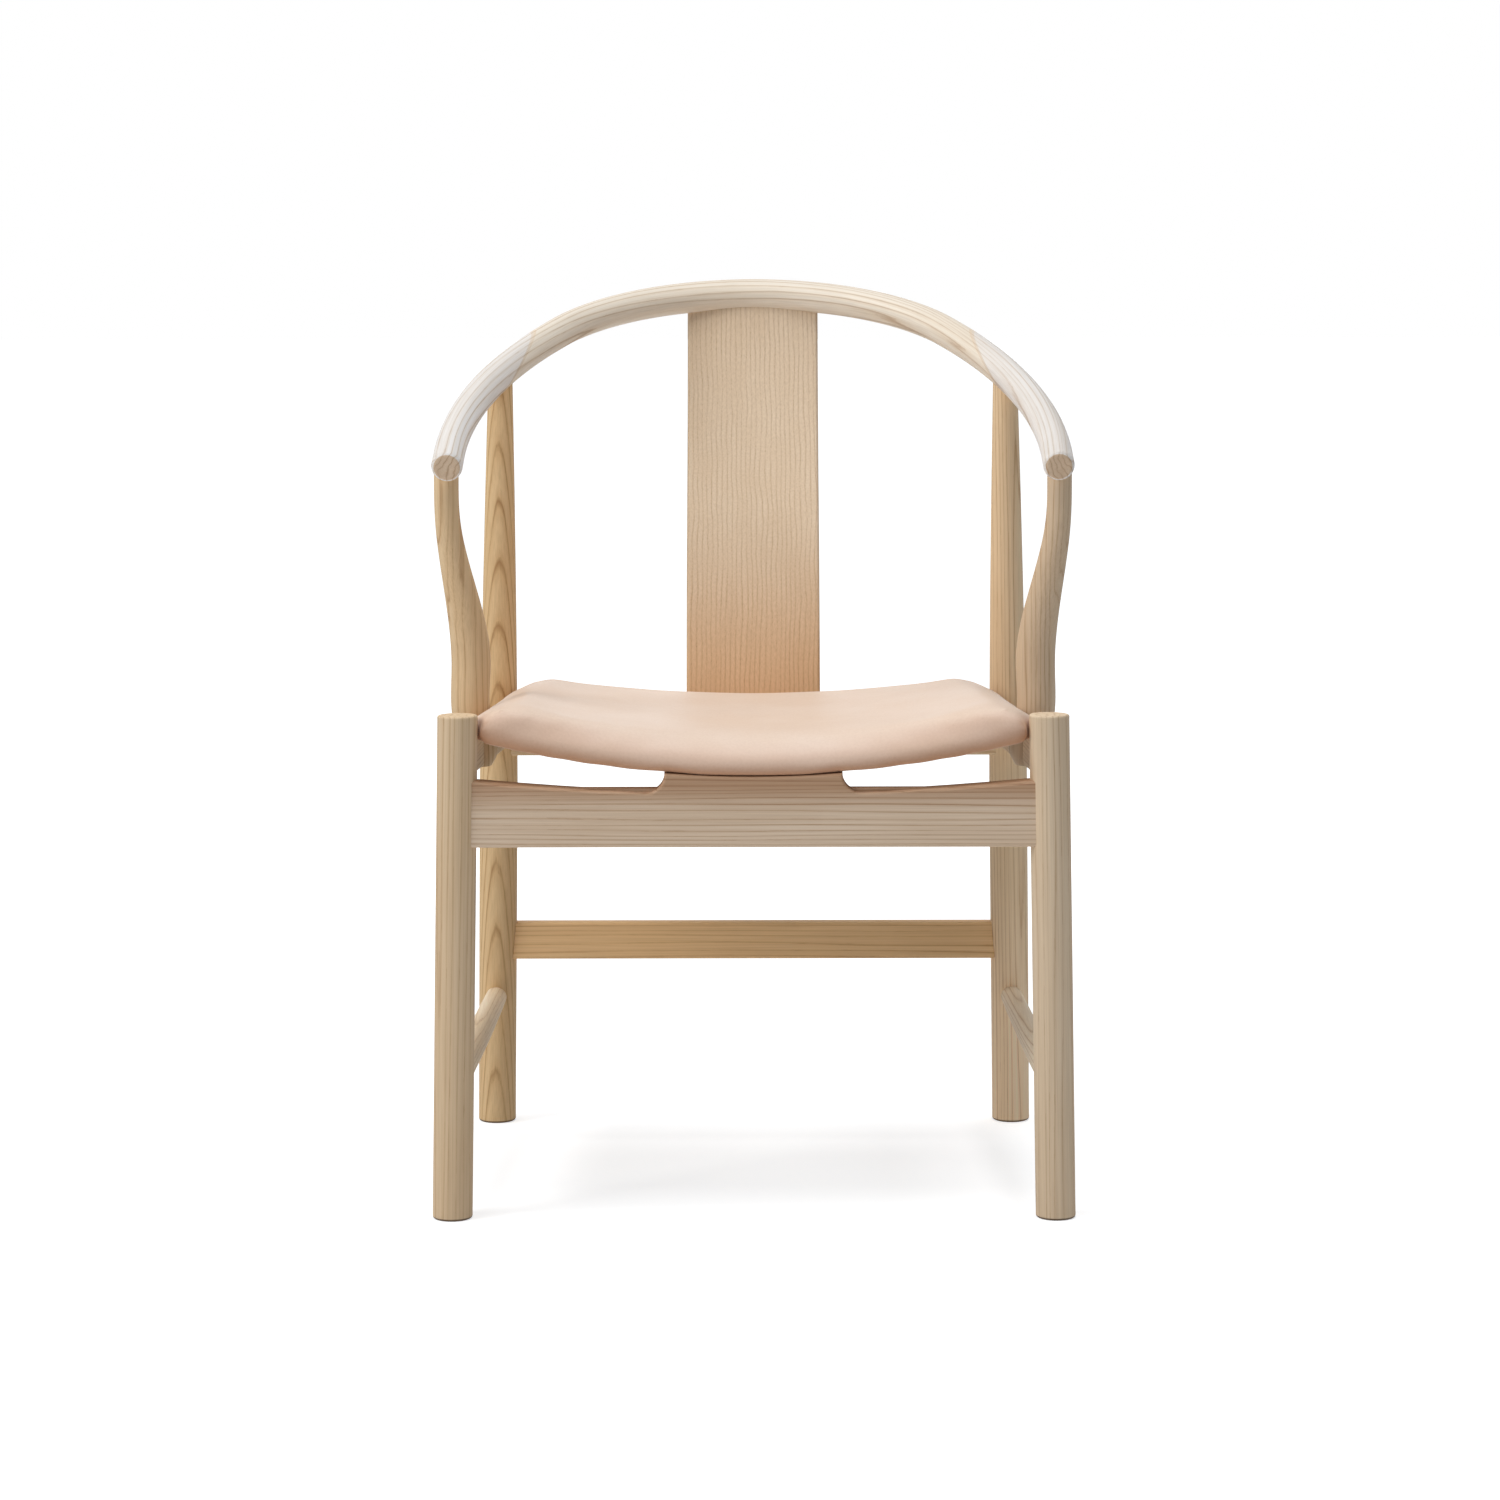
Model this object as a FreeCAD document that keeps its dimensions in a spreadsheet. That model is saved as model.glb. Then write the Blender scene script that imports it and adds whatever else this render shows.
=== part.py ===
import FreeCAD, Part
import math
import os
import Sketcher

# Horseshoe back armchair in pale ash with a saddle-shaped leather seat, in millimetres.
# The origin is under the middle of the chair on the floor: X to the sitter's left and right,
# Y from front (-) to back (+), Z up. "back" sizes are measured from the axis line of the front legs,
# "out" sizes from the plane of symmetry, and "height" sizes from the floor.

sizes = {
    "front_leg_dia": 34.5,
    "front_leg_rise": 52.2,
    "front_foot_out": 261,
    "front_leg_splay": 9,
    "foot_round": 2.5,
    "post_top_round": 2,
    "rear_foot_out": 246.8,
    "rear_foot_back": 390,
    "rear_foot_dia": 35.5,
    "rear_seat_dia": 35.8,
    "rear_swell_length": 330,
    "rear_top_dia": 22,
    "rear_top_down": 224,
    "rear_taper_radius": 24000,
    "bow_out": 263.5,
    "bow_apex_radius": 205,
    "bow_side_radius": 676,
    "bow_hand_length": 29.6,
    "bow_rise": 400.7,
    "bow_hand_drop": 141.5,
    "bow_apex_back": 500,
    "bow_apex_dia": 29.5,
    "bow_hand_dia": 27.2,
    "bow_hand_round": 4,
    "support_back": 112,
    "support_setback": 25,
    "support_base_dia": 34.5,
    "support_top_dia": 21.5,
    "support_top_offset": 2.2,
    "support_sweep_rise": 84.2,
    "support_sweep_drop": 37.5,
    "support_web": 14,
    "post_tenon_dia": 13,
    "post_tenon_reach": 4,
    "side_rail_thick": 24,
    "side_rail_tall": 33,
    "side_rail_front_rise": 15.7,
    "side_rail_rear_drop": 3.5,
    "rail_edge_round": 2.5,
    "rail_tenon_thick": 9,
    "rail_tenon_reach": 10,
    "rail_tenon_shoulder": 4,
    "front_rail_thick": 22,
    "front_rail_tall": 60.8,
    "front_rail_end_drop": 2.3,
    "front_rail_dip_drop": 14,
    "front_rail_arch_radius": 3500,
    "tab_out": 76,
    "tab_corner_share": 0.95,
    "rear_rail_thick": 26,
    "rear_rail_tall": 30,
    "rear_rail_offset": 4,
    "seat_front_height": 385.8,
    "seat_front_radius": 967,
    "seat_rear_rise": 5.2,
    "seat_rear_radius": 2400,
    "splat_width": 125,
    "splat_thick": 12,
    "splat_edge_round": 3,
    "splat_offset": 3,
    "splat_foot_lean": 10,
    "splat_waist_lean": 33,
    "splat_lower_radius": 540,
    "splat_tenon_thick": 7,
    "splat_tenon_width": 100,
    "splat_foot_tenon": 16,
    "rear_stretcher_height": 180,
    "rear_stretcher_tall": 35,
    "rear_stretcher_thick": 16,
    "side_stretcher_front_height": 113.8,
    "side_stretcher_rear_height": 127,
    "side_stretcher_dia": 22,
    "side_stretcher_end_dia": 19,
    "side_stretcher_tenon_dia": 12,
    "block_leg": 52,
    "block_lift": 6,
    "block_tall": 34,
    "block_screw_inset": 17,
    "seat_front_overhang": 13,
    "seat_rear_back": 331,
    "seat_ledge": 11,
    "seat_pad_tall": 29,
    "seat_border_tall": 4,
    "seat_side_bulge": 6,
    "seat_crown_inset": 46,
    "seat_crown_rise": 2.5,
    "seat_roll": 17,
    "seat_under_roll": 5,
    "leather_thick": 1.6,
    "leather_turn_under": 34,
    "board_thick": 10,
    "tab_screw_out": 45,
    "screw_shank_dia": 4.2,
    "screw_head_dia": 8.4,
    "screw_head_tall": 2.6,
    "screw_grip": 17,
    "screw_bite": 8,
    "screw_recess": 7.8,
    "glue_gap": 0.1,
    "soft_gap": 0.3,
    "overrun": 60,
    "post_cut_tall": 160,
    "ground_across": 1200,
}

# Places that follow from the sizes, as formulas of the sheet.
# The bow is flat: an apex arc, two longer side arcs and two short straight hands, tipped down forwards.
places = {
    "seat_rear_height": "sizes.seat_front_height + sizes.seat_rear_rise",
    "front_leg_height": "sizes.seat_front_height + sizes.front_leg_rise",
    "front_rail_bottom": "sizes.seat_front_height - sizes.front_rail_tall",
    "front_rail_end_height": "sizes.seat_front_height - sizes.front_rail_end_drop",
    "front_rail_dip_height": "sizes.seat_front_height - sizes.front_rail_dip_drop",
    "side_rail_front_height": "sizes.seat_front_height + sizes.side_rail_front_rise",
    "side_rail_rear_height": "seat_rear_height - sizes.side_rail_rear_drop",
    "rear_rail_bottom": "seat_rear_height - sizes.rear_rail_tall",
    "support_sweep_start": "sizes.seat_front_height + sizes.support_sweep_rise",
    "support_sweep_end": "support_top_height - sizes.support_sweep_drop",
    "post_cut_height": "sizes.seat_front_height - sizes.overrun",
    "front_line": "(sizes.front_leg_dia / 2 - sizes.bow_apex_back - sizes.bow_apex_dia / 2) / 2",
    "bow_apex_height": "sizes.seat_front_height + sizes.bow_rise",
    "bow_turn_sine": "(sizes.bow_side_radius - sizes.bow_out)"
                     " / (sizes.bow_side_radius - sizes.bow_apex_radius)",
    "bow_turn_cosine": "sqrt(1 - bow_turn_sine ^ 2)",
    "bow_join_out": "sizes.bow_apex_radius * bow_turn_sine",
    "bow_join_down": "sizes.bow_apex_radius * (1 - bow_turn_cosine)",
    "bow_centre_down": "sizes.bow_apex_radius"
                       " + (sizes.bow_side_radius - sizes.bow_apex_radius) * bow_turn_cosine",
    "bow_hand_down": "bow_centre_down + sizes.bow_hand_length",
    "bow_slope_sine": "sizes.bow_hand_drop / bow_hand_down",
    "bow_slope_cosine": "sqrt(1 - bow_slope_sine ^ 2)",
    "bow_slope": "asin(bow_slope_sine)",
    "rear_top_out": "sizes.bow_out - sizes.bow_side_radius"
                    " + sqrt(sizes.bow_side_radius ^ 2 - (bow_centre_down - sizes.rear_top_down) ^ 2)",
    "rear_top_back": "sizes.bow_apex_back - sizes.rear_top_down * bow_slope_cosine",
    "rear_top_height": "bow_apex_height - sizes.rear_top_down * bow_slope_sine",
    "rear_lean_in": "sizes.rear_foot_out - rear_top_out",
    "rear_lean_forward": "sizes.rear_foot_back - rear_top_back",
    "rear_leg_length": "sqrt(rear_lean_in ^ 2 + rear_lean_forward ^ 2 + rear_top_height ^ 2)",
    "rear_foot_radius": "sizes.rear_foot_dia / 2",
    "rear_seat_radius": "sizes.rear_seat_dia / 2",
    "rear_top_radius": "sizes.rear_top_dia / 2",
    "rail_front_out": "sizes.front_foot_out"
                      " - sizes.front_leg_splay * side_rail_front_height / front_leg_height",
    "rail_rear_share": "side_rail_rear_height / rear_top_height",
    "rail_rear_out": "sizes.rear_foot_out - rear_lean_in * rail_rear_share",
    "rail_rear_back": "sizes.rear_foot_back - rear_lean_forward * rail_rear_share",
    "rail_narrowing": "(rail_front_out - rail_rear_out) / rail_rear_back",
    "rail_turn": "90 deg + atan(rail_narrowing)",
    "rail_length": "sqrt(rail_rear_back ^ 2 + (rail_front_out - rail_rear_out) ^ 2)",
    "rail_front_top": "side_rail_front_height + sizes.side_rail_tall / 2",
    "rail_front_bottom": "side_rail_front_height - sizes.side_rail_tall / 2",
    "rail_rear_top": "side_rail_rear_height + sizes.side_rail_tall / 2",
    "rail_rear_bottom": "side_rail_rear_height - sizes.side_rail_tall / 2",
    "support_out": "rail_front_out - rail_narrowing * sizes.support_back",
    "support_foot_height": "rail_front_bottom"
                           " - (rail_front_bottom - rail_rear_bottom) * sizes.support_back / rail_rear_back",
    "support_top_out": "sizes.bow_out + sizes.support_top_offset",
    "support_top_back": "sizes.bow_apex_back"
                        " - (bow_hand_down - sizes.support_setback) * bow_slope_cosine",
    "support_top_height": "bow_apex_height"
                          " - (bow_hand_down - sizes.support_setback) * bow_slope_sine",
    "front_rail_out": "sizes.front_foot_out"
                      " - sizes.front_leg_splay * front_rail_bottom / front_leg_height",
    "tab_top_height": "sizes.seat_front_height + sizes.seat_front_radius"
                      " - sqrt(sizes.seat_front_radius ^ 2 - sizes.tab_out ^ 2)",
    "tab_corner_radius": "(tab_top_height - front_rail_dip_height) * sizes.tab_corner_share",
    "tab_foot_out": "sizes.tab_out + tab_corner_radius",
    "tab_corner_height": "front_rail_dip_height + tab_corner_radius",
    "rear_rail_share": "seat_rear_height / rear_top_height",
    "rear_rail_out": "sizes.rear_foot_out - rear_lean_in * rear_rail_share",
    "rear_rail_back": "sizes.rear_foot_back - rear_lean_forward * rear_rail_share + sizes.rear_rail_offset",
    "rear_rail_end_height": "seat_rear_height + sizes.seat_rear_radius"
                            " - sqrt(sizes.seat_rear_radius ^ 2 - rear_rail_out ^ 2)",
    "splat_foot_back": "rear_rail_back + sizes.splat_offset",
    "splat_foot_height": "seat_rear_height",
    "splat_waist_back": "splat_foot_back + sizes.splat_lower_radius"
                        " * (cos(sizes.splat_foot_lean) - cos(sizes.splat_waist_lean))",
    "splat_waist_height": "splat_foot_height + sizes.splat_lower_radius"
                          " * (sin(sizes.splat_waist_lean) - sin(sizes.splat_foot_lean))",
    "splat_rise_back": "sizes.bow_apex_back - splat_waist_back",
    "splat_rise_height": "bow_apex_height - splat_waist_height",
    "splat_upper_radius": "(splat_rise_back ^ 2 + splat_rise_height ^ 2) / 2 / abs("
                          "sin(sizes.splat_waist_lean) * splat_rise_height"
                          " - cos(sizes.splat_waist_lean) * splat_rise_back)",
    "splat_half_width": "sizes.splat_width / 2",
    "splat_half_thick": "sizes.splat_thick / 2",
    "splat_flat_out": "splat_half_width - sizes.splat_edge_round",
    "splat_flat_back": "splat_half_thick - sizes.splat_edge_round",
    "splat_tenon_out": "sizes.splat_tenon_width / 2",
    "splat_tenon_back": "sizes.splat_tenon_thick / 2",
    "splat_mortise_out": "splat_tenon_out + sizes.glue_gap",
    "splat_mortise_back": "splat_tenon_back + sizes.glue_gap",
    "stretcher_share": "sizes.rear_stretcher_height / rear_top_height",
    "stretcher_out": "sizes.rear_foot_out - rear_lean_in * stretcher_share",
    "stretcher_back": "sizes.rear_foot_back - rear_lean_forward * stretcher_share",
    "side_stretcher_front_out": "sizes.front_foot_out - sizes.front_leg_splay"
                                " * sizes.side_stretcher_front_height / front_leg_height",
    "side_stretcher_rear_share": "sizes.side_stretcher_rear_height / rear_top_height",
    "side_stretcher_rear_out": "sizes.rear_foot_out - rear_lean_in * side_stretcher_rear_share",
    "side_stretcher_rear_back": "sizes.rear_foot_back - rear_lean_forward * side_stretcher_rear_share",
    "side_stretcher_rise": "sizes.side_stretcher_rear_height - sizes.side_stretcher_front_height",
    "side_stretcher_length": "sqrt((side_stretcher_front_out - side_stretcher_rear_out) ^ 2"
                             " + side_stretcher_rear_back ^ 2 + side_stretcher_rise ^ 2)",
    "rail_tenon_start": "sizes.front_leg_dia / 2 - sizes.rail_tenon_reach",
    "rail_tenon_end": "rail_length - rear_seat_radius + sizes.rail_tenon_reach",
    "rail_front_tenon_top": "rail_front_top - sizes.rail_tenon_shoulder",
    "rail_front_tenon_bottom": "rail_front_bottom + sizes.rail_tenon_shoulder",
    "rail_rear_tenon_top": "rail_rear_top - sizes.rail_tenon_shoulder",
    "rail_rear_tenon_bottom": "rail_rear_bottom + sizes.rail_tenon_shoulder",
    "front_tenon_out": "front_rail_out - rail_tenon_start",
    "front_tenon_bottom": "front_rail_bottom + sizes.rail_tenon_shoulder",
    "front_tenon_top": "front_rail_end_height - 2 * sizes.rail_tenon_shoulder",
    "rear_tenon_out": "rear_rail_out - rear_seat_radius + sizes.rail_tenon_reach",
    "rear_tenon_bottom": "rear_rail_bottom + sizes.rail_tenon_shoulder",
    "rear_tenon_top": "seat_rear_height - sizes.rail_tenon_shoulder",
    "stretcher_bottom": "sizes.rear_stretcher_height - sizes.rear_stretcher_tall / 2",
    "stretcher_top": "sizes.rear_stretcher_height + sizes.rear_stretcher_tall / 2",
    "stretcher_tenon_bottom": "stretcher_bottom + sizes.rail_tenon_shoulder",
    "stretcher_tenon_top": "stretcher_top - sizes.rail_tenon_shoulder",
    "stretcher_tenon_out": "stretcher_out - rear_foot_radius + sizes.rail_tenon_reach",
    "block_back": "rear_rail_back - sizes.rear_rail_thick / 2",
    "block_front": "block_back - sizes.block_leg",
    "block_corner_out": "rail_front_out - rail_narrowing * block_back - sizes.side_rail_thick / 2",
    "block_front_out": "block_corner_out + rail_narrowing * sizes.block_leg",
    "block_inner_out": "block_corner_out - sizes.block_leg",
    "block_bottom": "rail_rear_bottom + sizes.block_lift",
    "front_screw_height": "sizes.seat_front_height - sizes.screw_grip",
    "rear_screw_height": "block_bottom + sizes.screw_recess",
    "rear_screw_out": "block_corner_out - sizes.block_screw_inset",
    "rear_screw_back": "block_back - sizes.block_screw_inset",
    "splat_start_height": "seat_rear_height - sizes.splat_foot_tenon",
    "splat_start_back": "splat_foot_back - sizes.splat_foot_tenon * tan(sizes.splat_foot_lean)",
    "rail_mortise_thick": "sizes.rail_tenon_thick + 2 * sizes.glue_gap",
    "support_base_radius": "sizes.support_base_dia / 2",
    "support_top_radius": "sizes.support_top_dia / 2",
    "support_housing_radius": "support_base_radius + sizes.glue_gap",
    "support_housing_base": "support_foot_height - sizes.overrun",
    "support_housing_tall": "sizes.side_rail_tall + 2 * sizes.overrun",
    "post_tenon_radius": "sizes.post_tenon_dia / 2",
    "post_bore_radius": "post_tenon_radius + sizes.glue_gap",
    "support_tenon_base": "support_top_height - sizes.bow_hand_dia",
    "support_tenon_tall": "sizes.bow_hand_dia + sizes.post_tenon_reach",
    "rear_leg_tenon_start": "rear_leg_length - sizes.bow_apex_dia",
    "rear_leg_tenon_long": "sizes.bow_apex_dia + sizes.post_tenon_reach",
    "side_tenon_radius": "sizes.side_stretcher_tenon_dia / 2",
    "side_bore_radius": "side_tenon_radius + sizes.glue_gap",
    "side_tenon_long": "side_stretcher_length - rear_foot_radius"
                       " + sizes.rail_tenon_reach - rail_tenon_start",
    "screw_shank_radius": "sizes.screw_shank_dia / 2",
    "screw_head_radius": "sizes.screw_head_dia / 2",
    "screw_length": "sizes.screw_grip + sizes.screw_bite",
    "side_stretcher_middle": "side_stretcher_length / 2",
    "side_stretcher_end_radius": "sizes.side_stretcher_end_dia / 2",
    "side_stretcher_swell": "(sizes.side_stretcher_dia - sizes.side_stretcher_end_dia) / 2",
    "side_stretcher_barrel_radius": "side_stretcher_middle ^ 2 / 2 / side_stretcher_swell"
                                    " + side_stretcher_swell / 2",
}

doc = FreeCAD.newDocument("horseshoe_armchair")


def fillSheet(sheetName, cells, prefix):
    sheet = doc.addObject("Spreadsheet::Sheet", sheetName)
    for row, (alias, content) in enumerate(cells.items(), start=1):
        sheet.set("A%d" % row, alias)
        sheet.setAlias("B%d" % row, alias)
    for row, content in enumerate(cells.values(), start=1):
        sheet.set("B%d" % row, prefix + str(content))
    doc.recompute()
    return sheet


sizeSheet = fillSheet("sizes", sizes, "")
placeSheet = fillSheet("places", places, "=")


def value(alias):
    sheet = sizeSheet if alias in sizes else placeSheet
    cell = sheet.get(alias)
    return float(cell.Value) if hasattr(cell, "Value") else float(cell)


def ref(alias):
    return ("sizes." if alias in sizes else "places.") + alias


# General helpers for sketches, placing and joining

def originPlane(body, role):
    return [plane for plane in body.Origin.OriginFeatures if plane.Role == role][0]


def newBody(name):
    body = doc.addObject("PartDesign::Body", name)
    body.setExpression("Placement.Base.y", "places.front_line")
    return body


def newSketch(body, name, role):
    sketch = body.newObject("Sketcher::SketchObject", name)
    sketch.AttachmentSupport = [(originPlane(body, role), "")]
    sketch.MapMode = "FlatFace"
    return sketch


def signedValue(alias):
    if alias == "0":
        return 0.0
    return -value(alias[1:]) if alias.startswith("-") else value(alias)


def pinPoint(sketch, edge, end, corner):
    for alias, kind, axis in ((corner[0], "DistanceX", -2), (corner[1], "DistanceY", -1)):
        if alias == "0":
            sketch.addConstraint(Sketcher.Constraint("PointOnObject", edge, end, axis))
            continue
        points = (edge, end, -1, 1) if alias.startswith("-") else (-1, 1, edge, end)
        index = sketch.addConstraint(Sketcher.Constraint(kind, *points, abs(signedValue(alias))))
        sketch.setExpression("Constraints[%d]" % index, ref(alias.lstrip("-")))


def shallowArc(start, finish, radius, side):
    # an arc of under a half circle; a side of 1 bulges to the left of the way from start to finish
    chord = finish - start
    half = chord.Length / 2
    across = FreeCAD.Vector(-chord.y, chord.x, 0).normalize() * side
    centre = (start + finish) / 2 - across * math.sqrt(radius ** 2 - half ** 2)
    first, last = (finish, start) if side > 0 else (start, finish)
    turns = [math.atan2(point.y - centre.y, point.x - centre.x) for point in (first, last)]
    if turns[1] < turns[0]:
        turns[1] += 2 * math.pi
    return Part.ArcOfCircle(Part.Circle(centre, FreeCAD.Vector(0, 0, 1), radius), *turns)


def drawOutline(sketch, corners, bends, closed=True):
    # bends gives, for the edge that starts at a corner, its radius and the side that it bulges to
    count = len(corners)
    points = [FreeCAD.Vector(signedValue(across), signedValue(up), 0) for across, up in corners]
    edgeCount = count if closed else count - 1
    ends = []
    for number in range(edgeCount):
        start = points[number]
        finish = points[(number + 1) % count]
        if number in bends:
            radius, side = bends[number]
            edge = sketch.addGeometry(shallowArc(start, finish, value(radius), side))
        else:
            edge = sketch.addGeometry(Part.LineSegment(start, finish))
        drawn = sketch.Geometry[edge].StartPoint
        ends.append((1, 2) if drawn.distanceToPoint(start) < drawn.distanceToPoint(finish) else (2, 1))
    for number in range(edgeCount):
        pinPoint(sketch, number, ends[number][0], corners[number])
        if number + 1 < edgeCount:
            sketch.addConstraint(Sketcher.Constraint(
                "Coincident", number, ends[number][1], number + 1, ends[number + 1][0]))
        elif closed:
            sketch.addConstraint(Sketcher.Constraint("Coincident", number, ends[number][1], 0, ends[0][0]))
        else:
            pinPoint(sketch, number, ends[number][1], corners[count - 1])
    for number, (radius, side) in bends.items():
        index = sketch.addConstraint(Sketcher.Constraint("Radius", number, value(radius)))
        sketch.setExpression("Constraints[%d]" % index, ref(radius))
    return sketch


def drawCircle(sketch, centre, diameter):
    edge = sketch.addGeometry(Part.Circle(
        FreeCAD.Vector(signedValue(centre[0]), signedValue(centre[1]), 0),
        FreeCAD.Vector(0, 0, 1), value(diameter) / 2))
    pinPoint(sketch, edge, 3, centre)
    index = sketch.addConstraint(Sketcher.Constraint("Diameter", edge, value(diameter)))
    sketch.setExpression("Constraints[%d]" % index, ref(diameter))
    return sketch


def edgeNames(shape, wanted):
    return ["Edge%d" % number for number, edge in enumerate(shape.Edges, start=1) if wanted(edge)]


def near(first, second):
    # closer than any rounding of the chair can move an edge
    roundShare = 0.01
    return abs(first - second) < roundShare * value("foot_round")


def isLevel(edge, height):
    return near(edge.BoundBox.ZMin, height) and near(edge.BoundBox.ZMax, height)


def aimUp(thing, baseOut, baseBack, baseHeight, leanOut, leanBack, rise):
    # puts the object's own Z axis along a leaning member
    thing.setExpression("Placement", (
        "placement(vector({0}; places.front_line + {1}; {2});"
        " rotation(vector(-({4}); {3}; 0); acos(({5}) / sqrt(({3}) ^ 2 + ({4}) ^ 2 + ({5}) ^ 2))))"
    ).format(baseOut, baseBack, baseHeight, leanOut, leanBack, rise))


def cutFrom(name, base, tools):
    result = base
    for number, tool in enumerate(tools, start=1):
        cut = doc.addObject("Part::Cut", name if number == len(tools) else "%s_step%d" % (name, number))
        cut.Base = result
        cut.Tool = tool
        result = cut
    return result


def joinUp(name, things):
    joined = doc.addObject("Part::MultiFuse", name)
    joined.Shapes = things
    return joined


def mirrorOf(name, source):
    mirrored = doc.addObject("Part::Mirroring", name)
    mirrored.Source = source
    mirrored.Normal = FreeCAD.Vector(1, 0, 0)
    return mirrored


def leaningCylinder(name, radius, height, axis, start):
    # a dowel, tenon or bore along a leaning member, from a point that lies "start" along it
    rod = doc.addObject("Part::Cylinder", name)
    rod.setExpression("Radius", radius)
    rod.setExpression("Height", height)
    length = "sqrt(({3}) ^ 2 + ({4}) ^ 2 + ({5}) ^ 2)".format(*axis)
    aimUp(rod, *["({0} + ({1}) * ({2}) / {3})".format(axis[i], axis[i + 3], start, length) for i in range(3)],
          *axis[3:])
    return rod


# The axes of the leaning members: where they start and how they run to their other end
rearLegAxis = (
    "sizes.rear_foot_out", "sizes.rear_foot_back", "0",
    "-places.rear_lean_in", "-places.rear_lean_forward", "places.rear_top_height")
sideStretcherAxis = (
    "places.side_stretcher_front_out", "0", "sizes.side_stretcher_front_height",
    "(places.side_stretcher_rear_out - places.side_stretcher_front_out)",
    "places.side_stretcher_rear_back", "places.side_stretcher_rise")


def makeFrontLegBlank():
    body = newBody("front_leg_blank")
    body.setExpression("Placement.Base.x", "sizes.front_foot_out")
    drawCircle(newSketch(body, "front_leg_round", "XY_Plane"), ("0", "0"), "front_leg_dia")
    pad = body.newObject("PartDesign::Pad", "front_leg_pad")
    pad.Profile = doc.getObject("front_leg_round")
    pad.UseCustomVector = True
    pad.AlongSketchNormal = True
    pad.setExpression("Length", "places.front_leg_height")
    pad.setExpression("Direction.x", "-sizes.front_leg_splay")
    pad.setExpression("Direction.y", "0")
    pad.setExpression("Direction.z", "places.front_leg_height")
    doc.recompute()
    foot = body.newObject("PartDesign::Fillet", "front_foot_edge")
    foot.Base = (pad, edgeNames(pad.Shape, lambda edge: isLevel(edge, 0)))
    foot.setExpression("Radius", "sizes.foot_round")
    doc.recompute()
    top = body.newObject("PartDesign::Fillet", "front_leg_top_edge")
    top.Base = (foot, edgeNames(foot.Shape, lambda edge: isLevel(edge, value("front_leg_height"))))
    top.setExpression("Radius", "sizes.post_top_round")
    return body


def makeRearLegBlank():
    # a turned post that is fullest at the seat and thins to the bow, cut level at the floor
    body = doc.addObject("PartDesign::Body", "rear_leg_turning")
    aimUp(body, *rearLegAxis)
    sketch = newSketch(body, "rear_leg_outline", "XZ_Plane")
    corners = [("0", "-overrun"), ("rear_foot_radius", "-overrun"), ("rear_foot_radius", "0"),
               ("rear_seat_radius", "rear_swell_length"), ("rear_top_radius", "rear_leg_length"),
               ("0", "rear_leg_length")]
    drawOutline(sketch, corners, {3: ("rear_taper_radius", -1)})
    turned = body.newObject("PartDesign::Revolution", "rear_leg_turned")
    turned.Profile = sketch
    turned.ReferenceAxis = (sketch, ["V_Axis"])
    turned.Angle = 360
    ground = doc.addObject("Part::Box", "ground")
    for side in ("Length", "Width", "Height"):
        ground.setExpression(side, "sizes.ground_across")
    ground.setExpression("Placement.Base", "vector(-sizes.ground_across / 2; -sizes.ground_across / 2;"
                                           " -sizes.ground_across)")
    level = cutFrom("rear_leg_levelled", body, [ground])
    doc.recompute()
    foot = doc.addObject("Part::Fillet", "rear_leg_blank")
    foot.Base = level
    names = edgeNames(level.Shape, lambda edge: isLevel(edge, 0))
    rounding = value("foot_round")
    foot.Edges = [(int(name[4:]), rounding, rounding) for name in names]
    return foot


def makeBowBlank():
    # one bent rail: half of it is swept from the apex to the hand, and the other half mirrors it
    body = doc.addObject("PartDesign::Body", "bow_blank")
    body.setExpression("Placement", "placement(vector(0; places.front_line + sizes.bow_apex_back;"
                                    " places.bow_apex_height); rotation(vector(1; 0; 0); places.bow_slope))")
    path = drawOutline(
        newSketch(body, "bow_line", "XY_Plane"),
        [("0", "0"), ("bow_join_out", "-bow_join_down"), ("bow_out", "-bow_centre_down"),
         ("bow_out", "-bow_hand_down")],
        {0: ("bow_apex_radius", 1), 1: ("bow_side_radius", 1)}, closed=False)
    apex = drawCircle(newSketch(body, "bow_apex_section", "YZ_Plane"), ("0", "0"), "bow_apex_dia")
    hand = newSketch(body, "bow_hand_section", "XZ_Plane")
    hand.setExpression("AttachmentOffset.Base.z", "places.bow_hand_down")
    drawCircle(hand, ("bow_out", "0"), "bow_hand_dia")
    sweep = body.newObject("PartDesign::AdditivePipe", "bow_sweep")
    sweep.Profile = apex
    sweep.Spine = (path, ["Edge1", "Edge2", "Edge3"])
    sweep.Transformation = "Multisection"
    sweep.Sections = [(hand, [""])]
    doc.recompute()
    mirrored = body.newObject("PartDesign::Mirrored", "bow_halves")
    mirrored.Originals = [sweep]
    mirrored.MirrorPlane = (originPlane(body, "YZ_Plane"), [""])
    body.Tip = mirrored
    doc.recompute()
    endLine = -value("bow_hand_down")
    hands = body.newObject("PartDesign::Fillet", "bow_hand_edges")
    hands.Base = (mirrored, edgeNames(
        mirrored.Shape, lambda edge: near(edge.BoundBox.YMax, endLine)))
    hands.setExpression("Radius", "sizes.bow_hand_round")
    body.Tip = hands
    doc.recompute()
    return body


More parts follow.
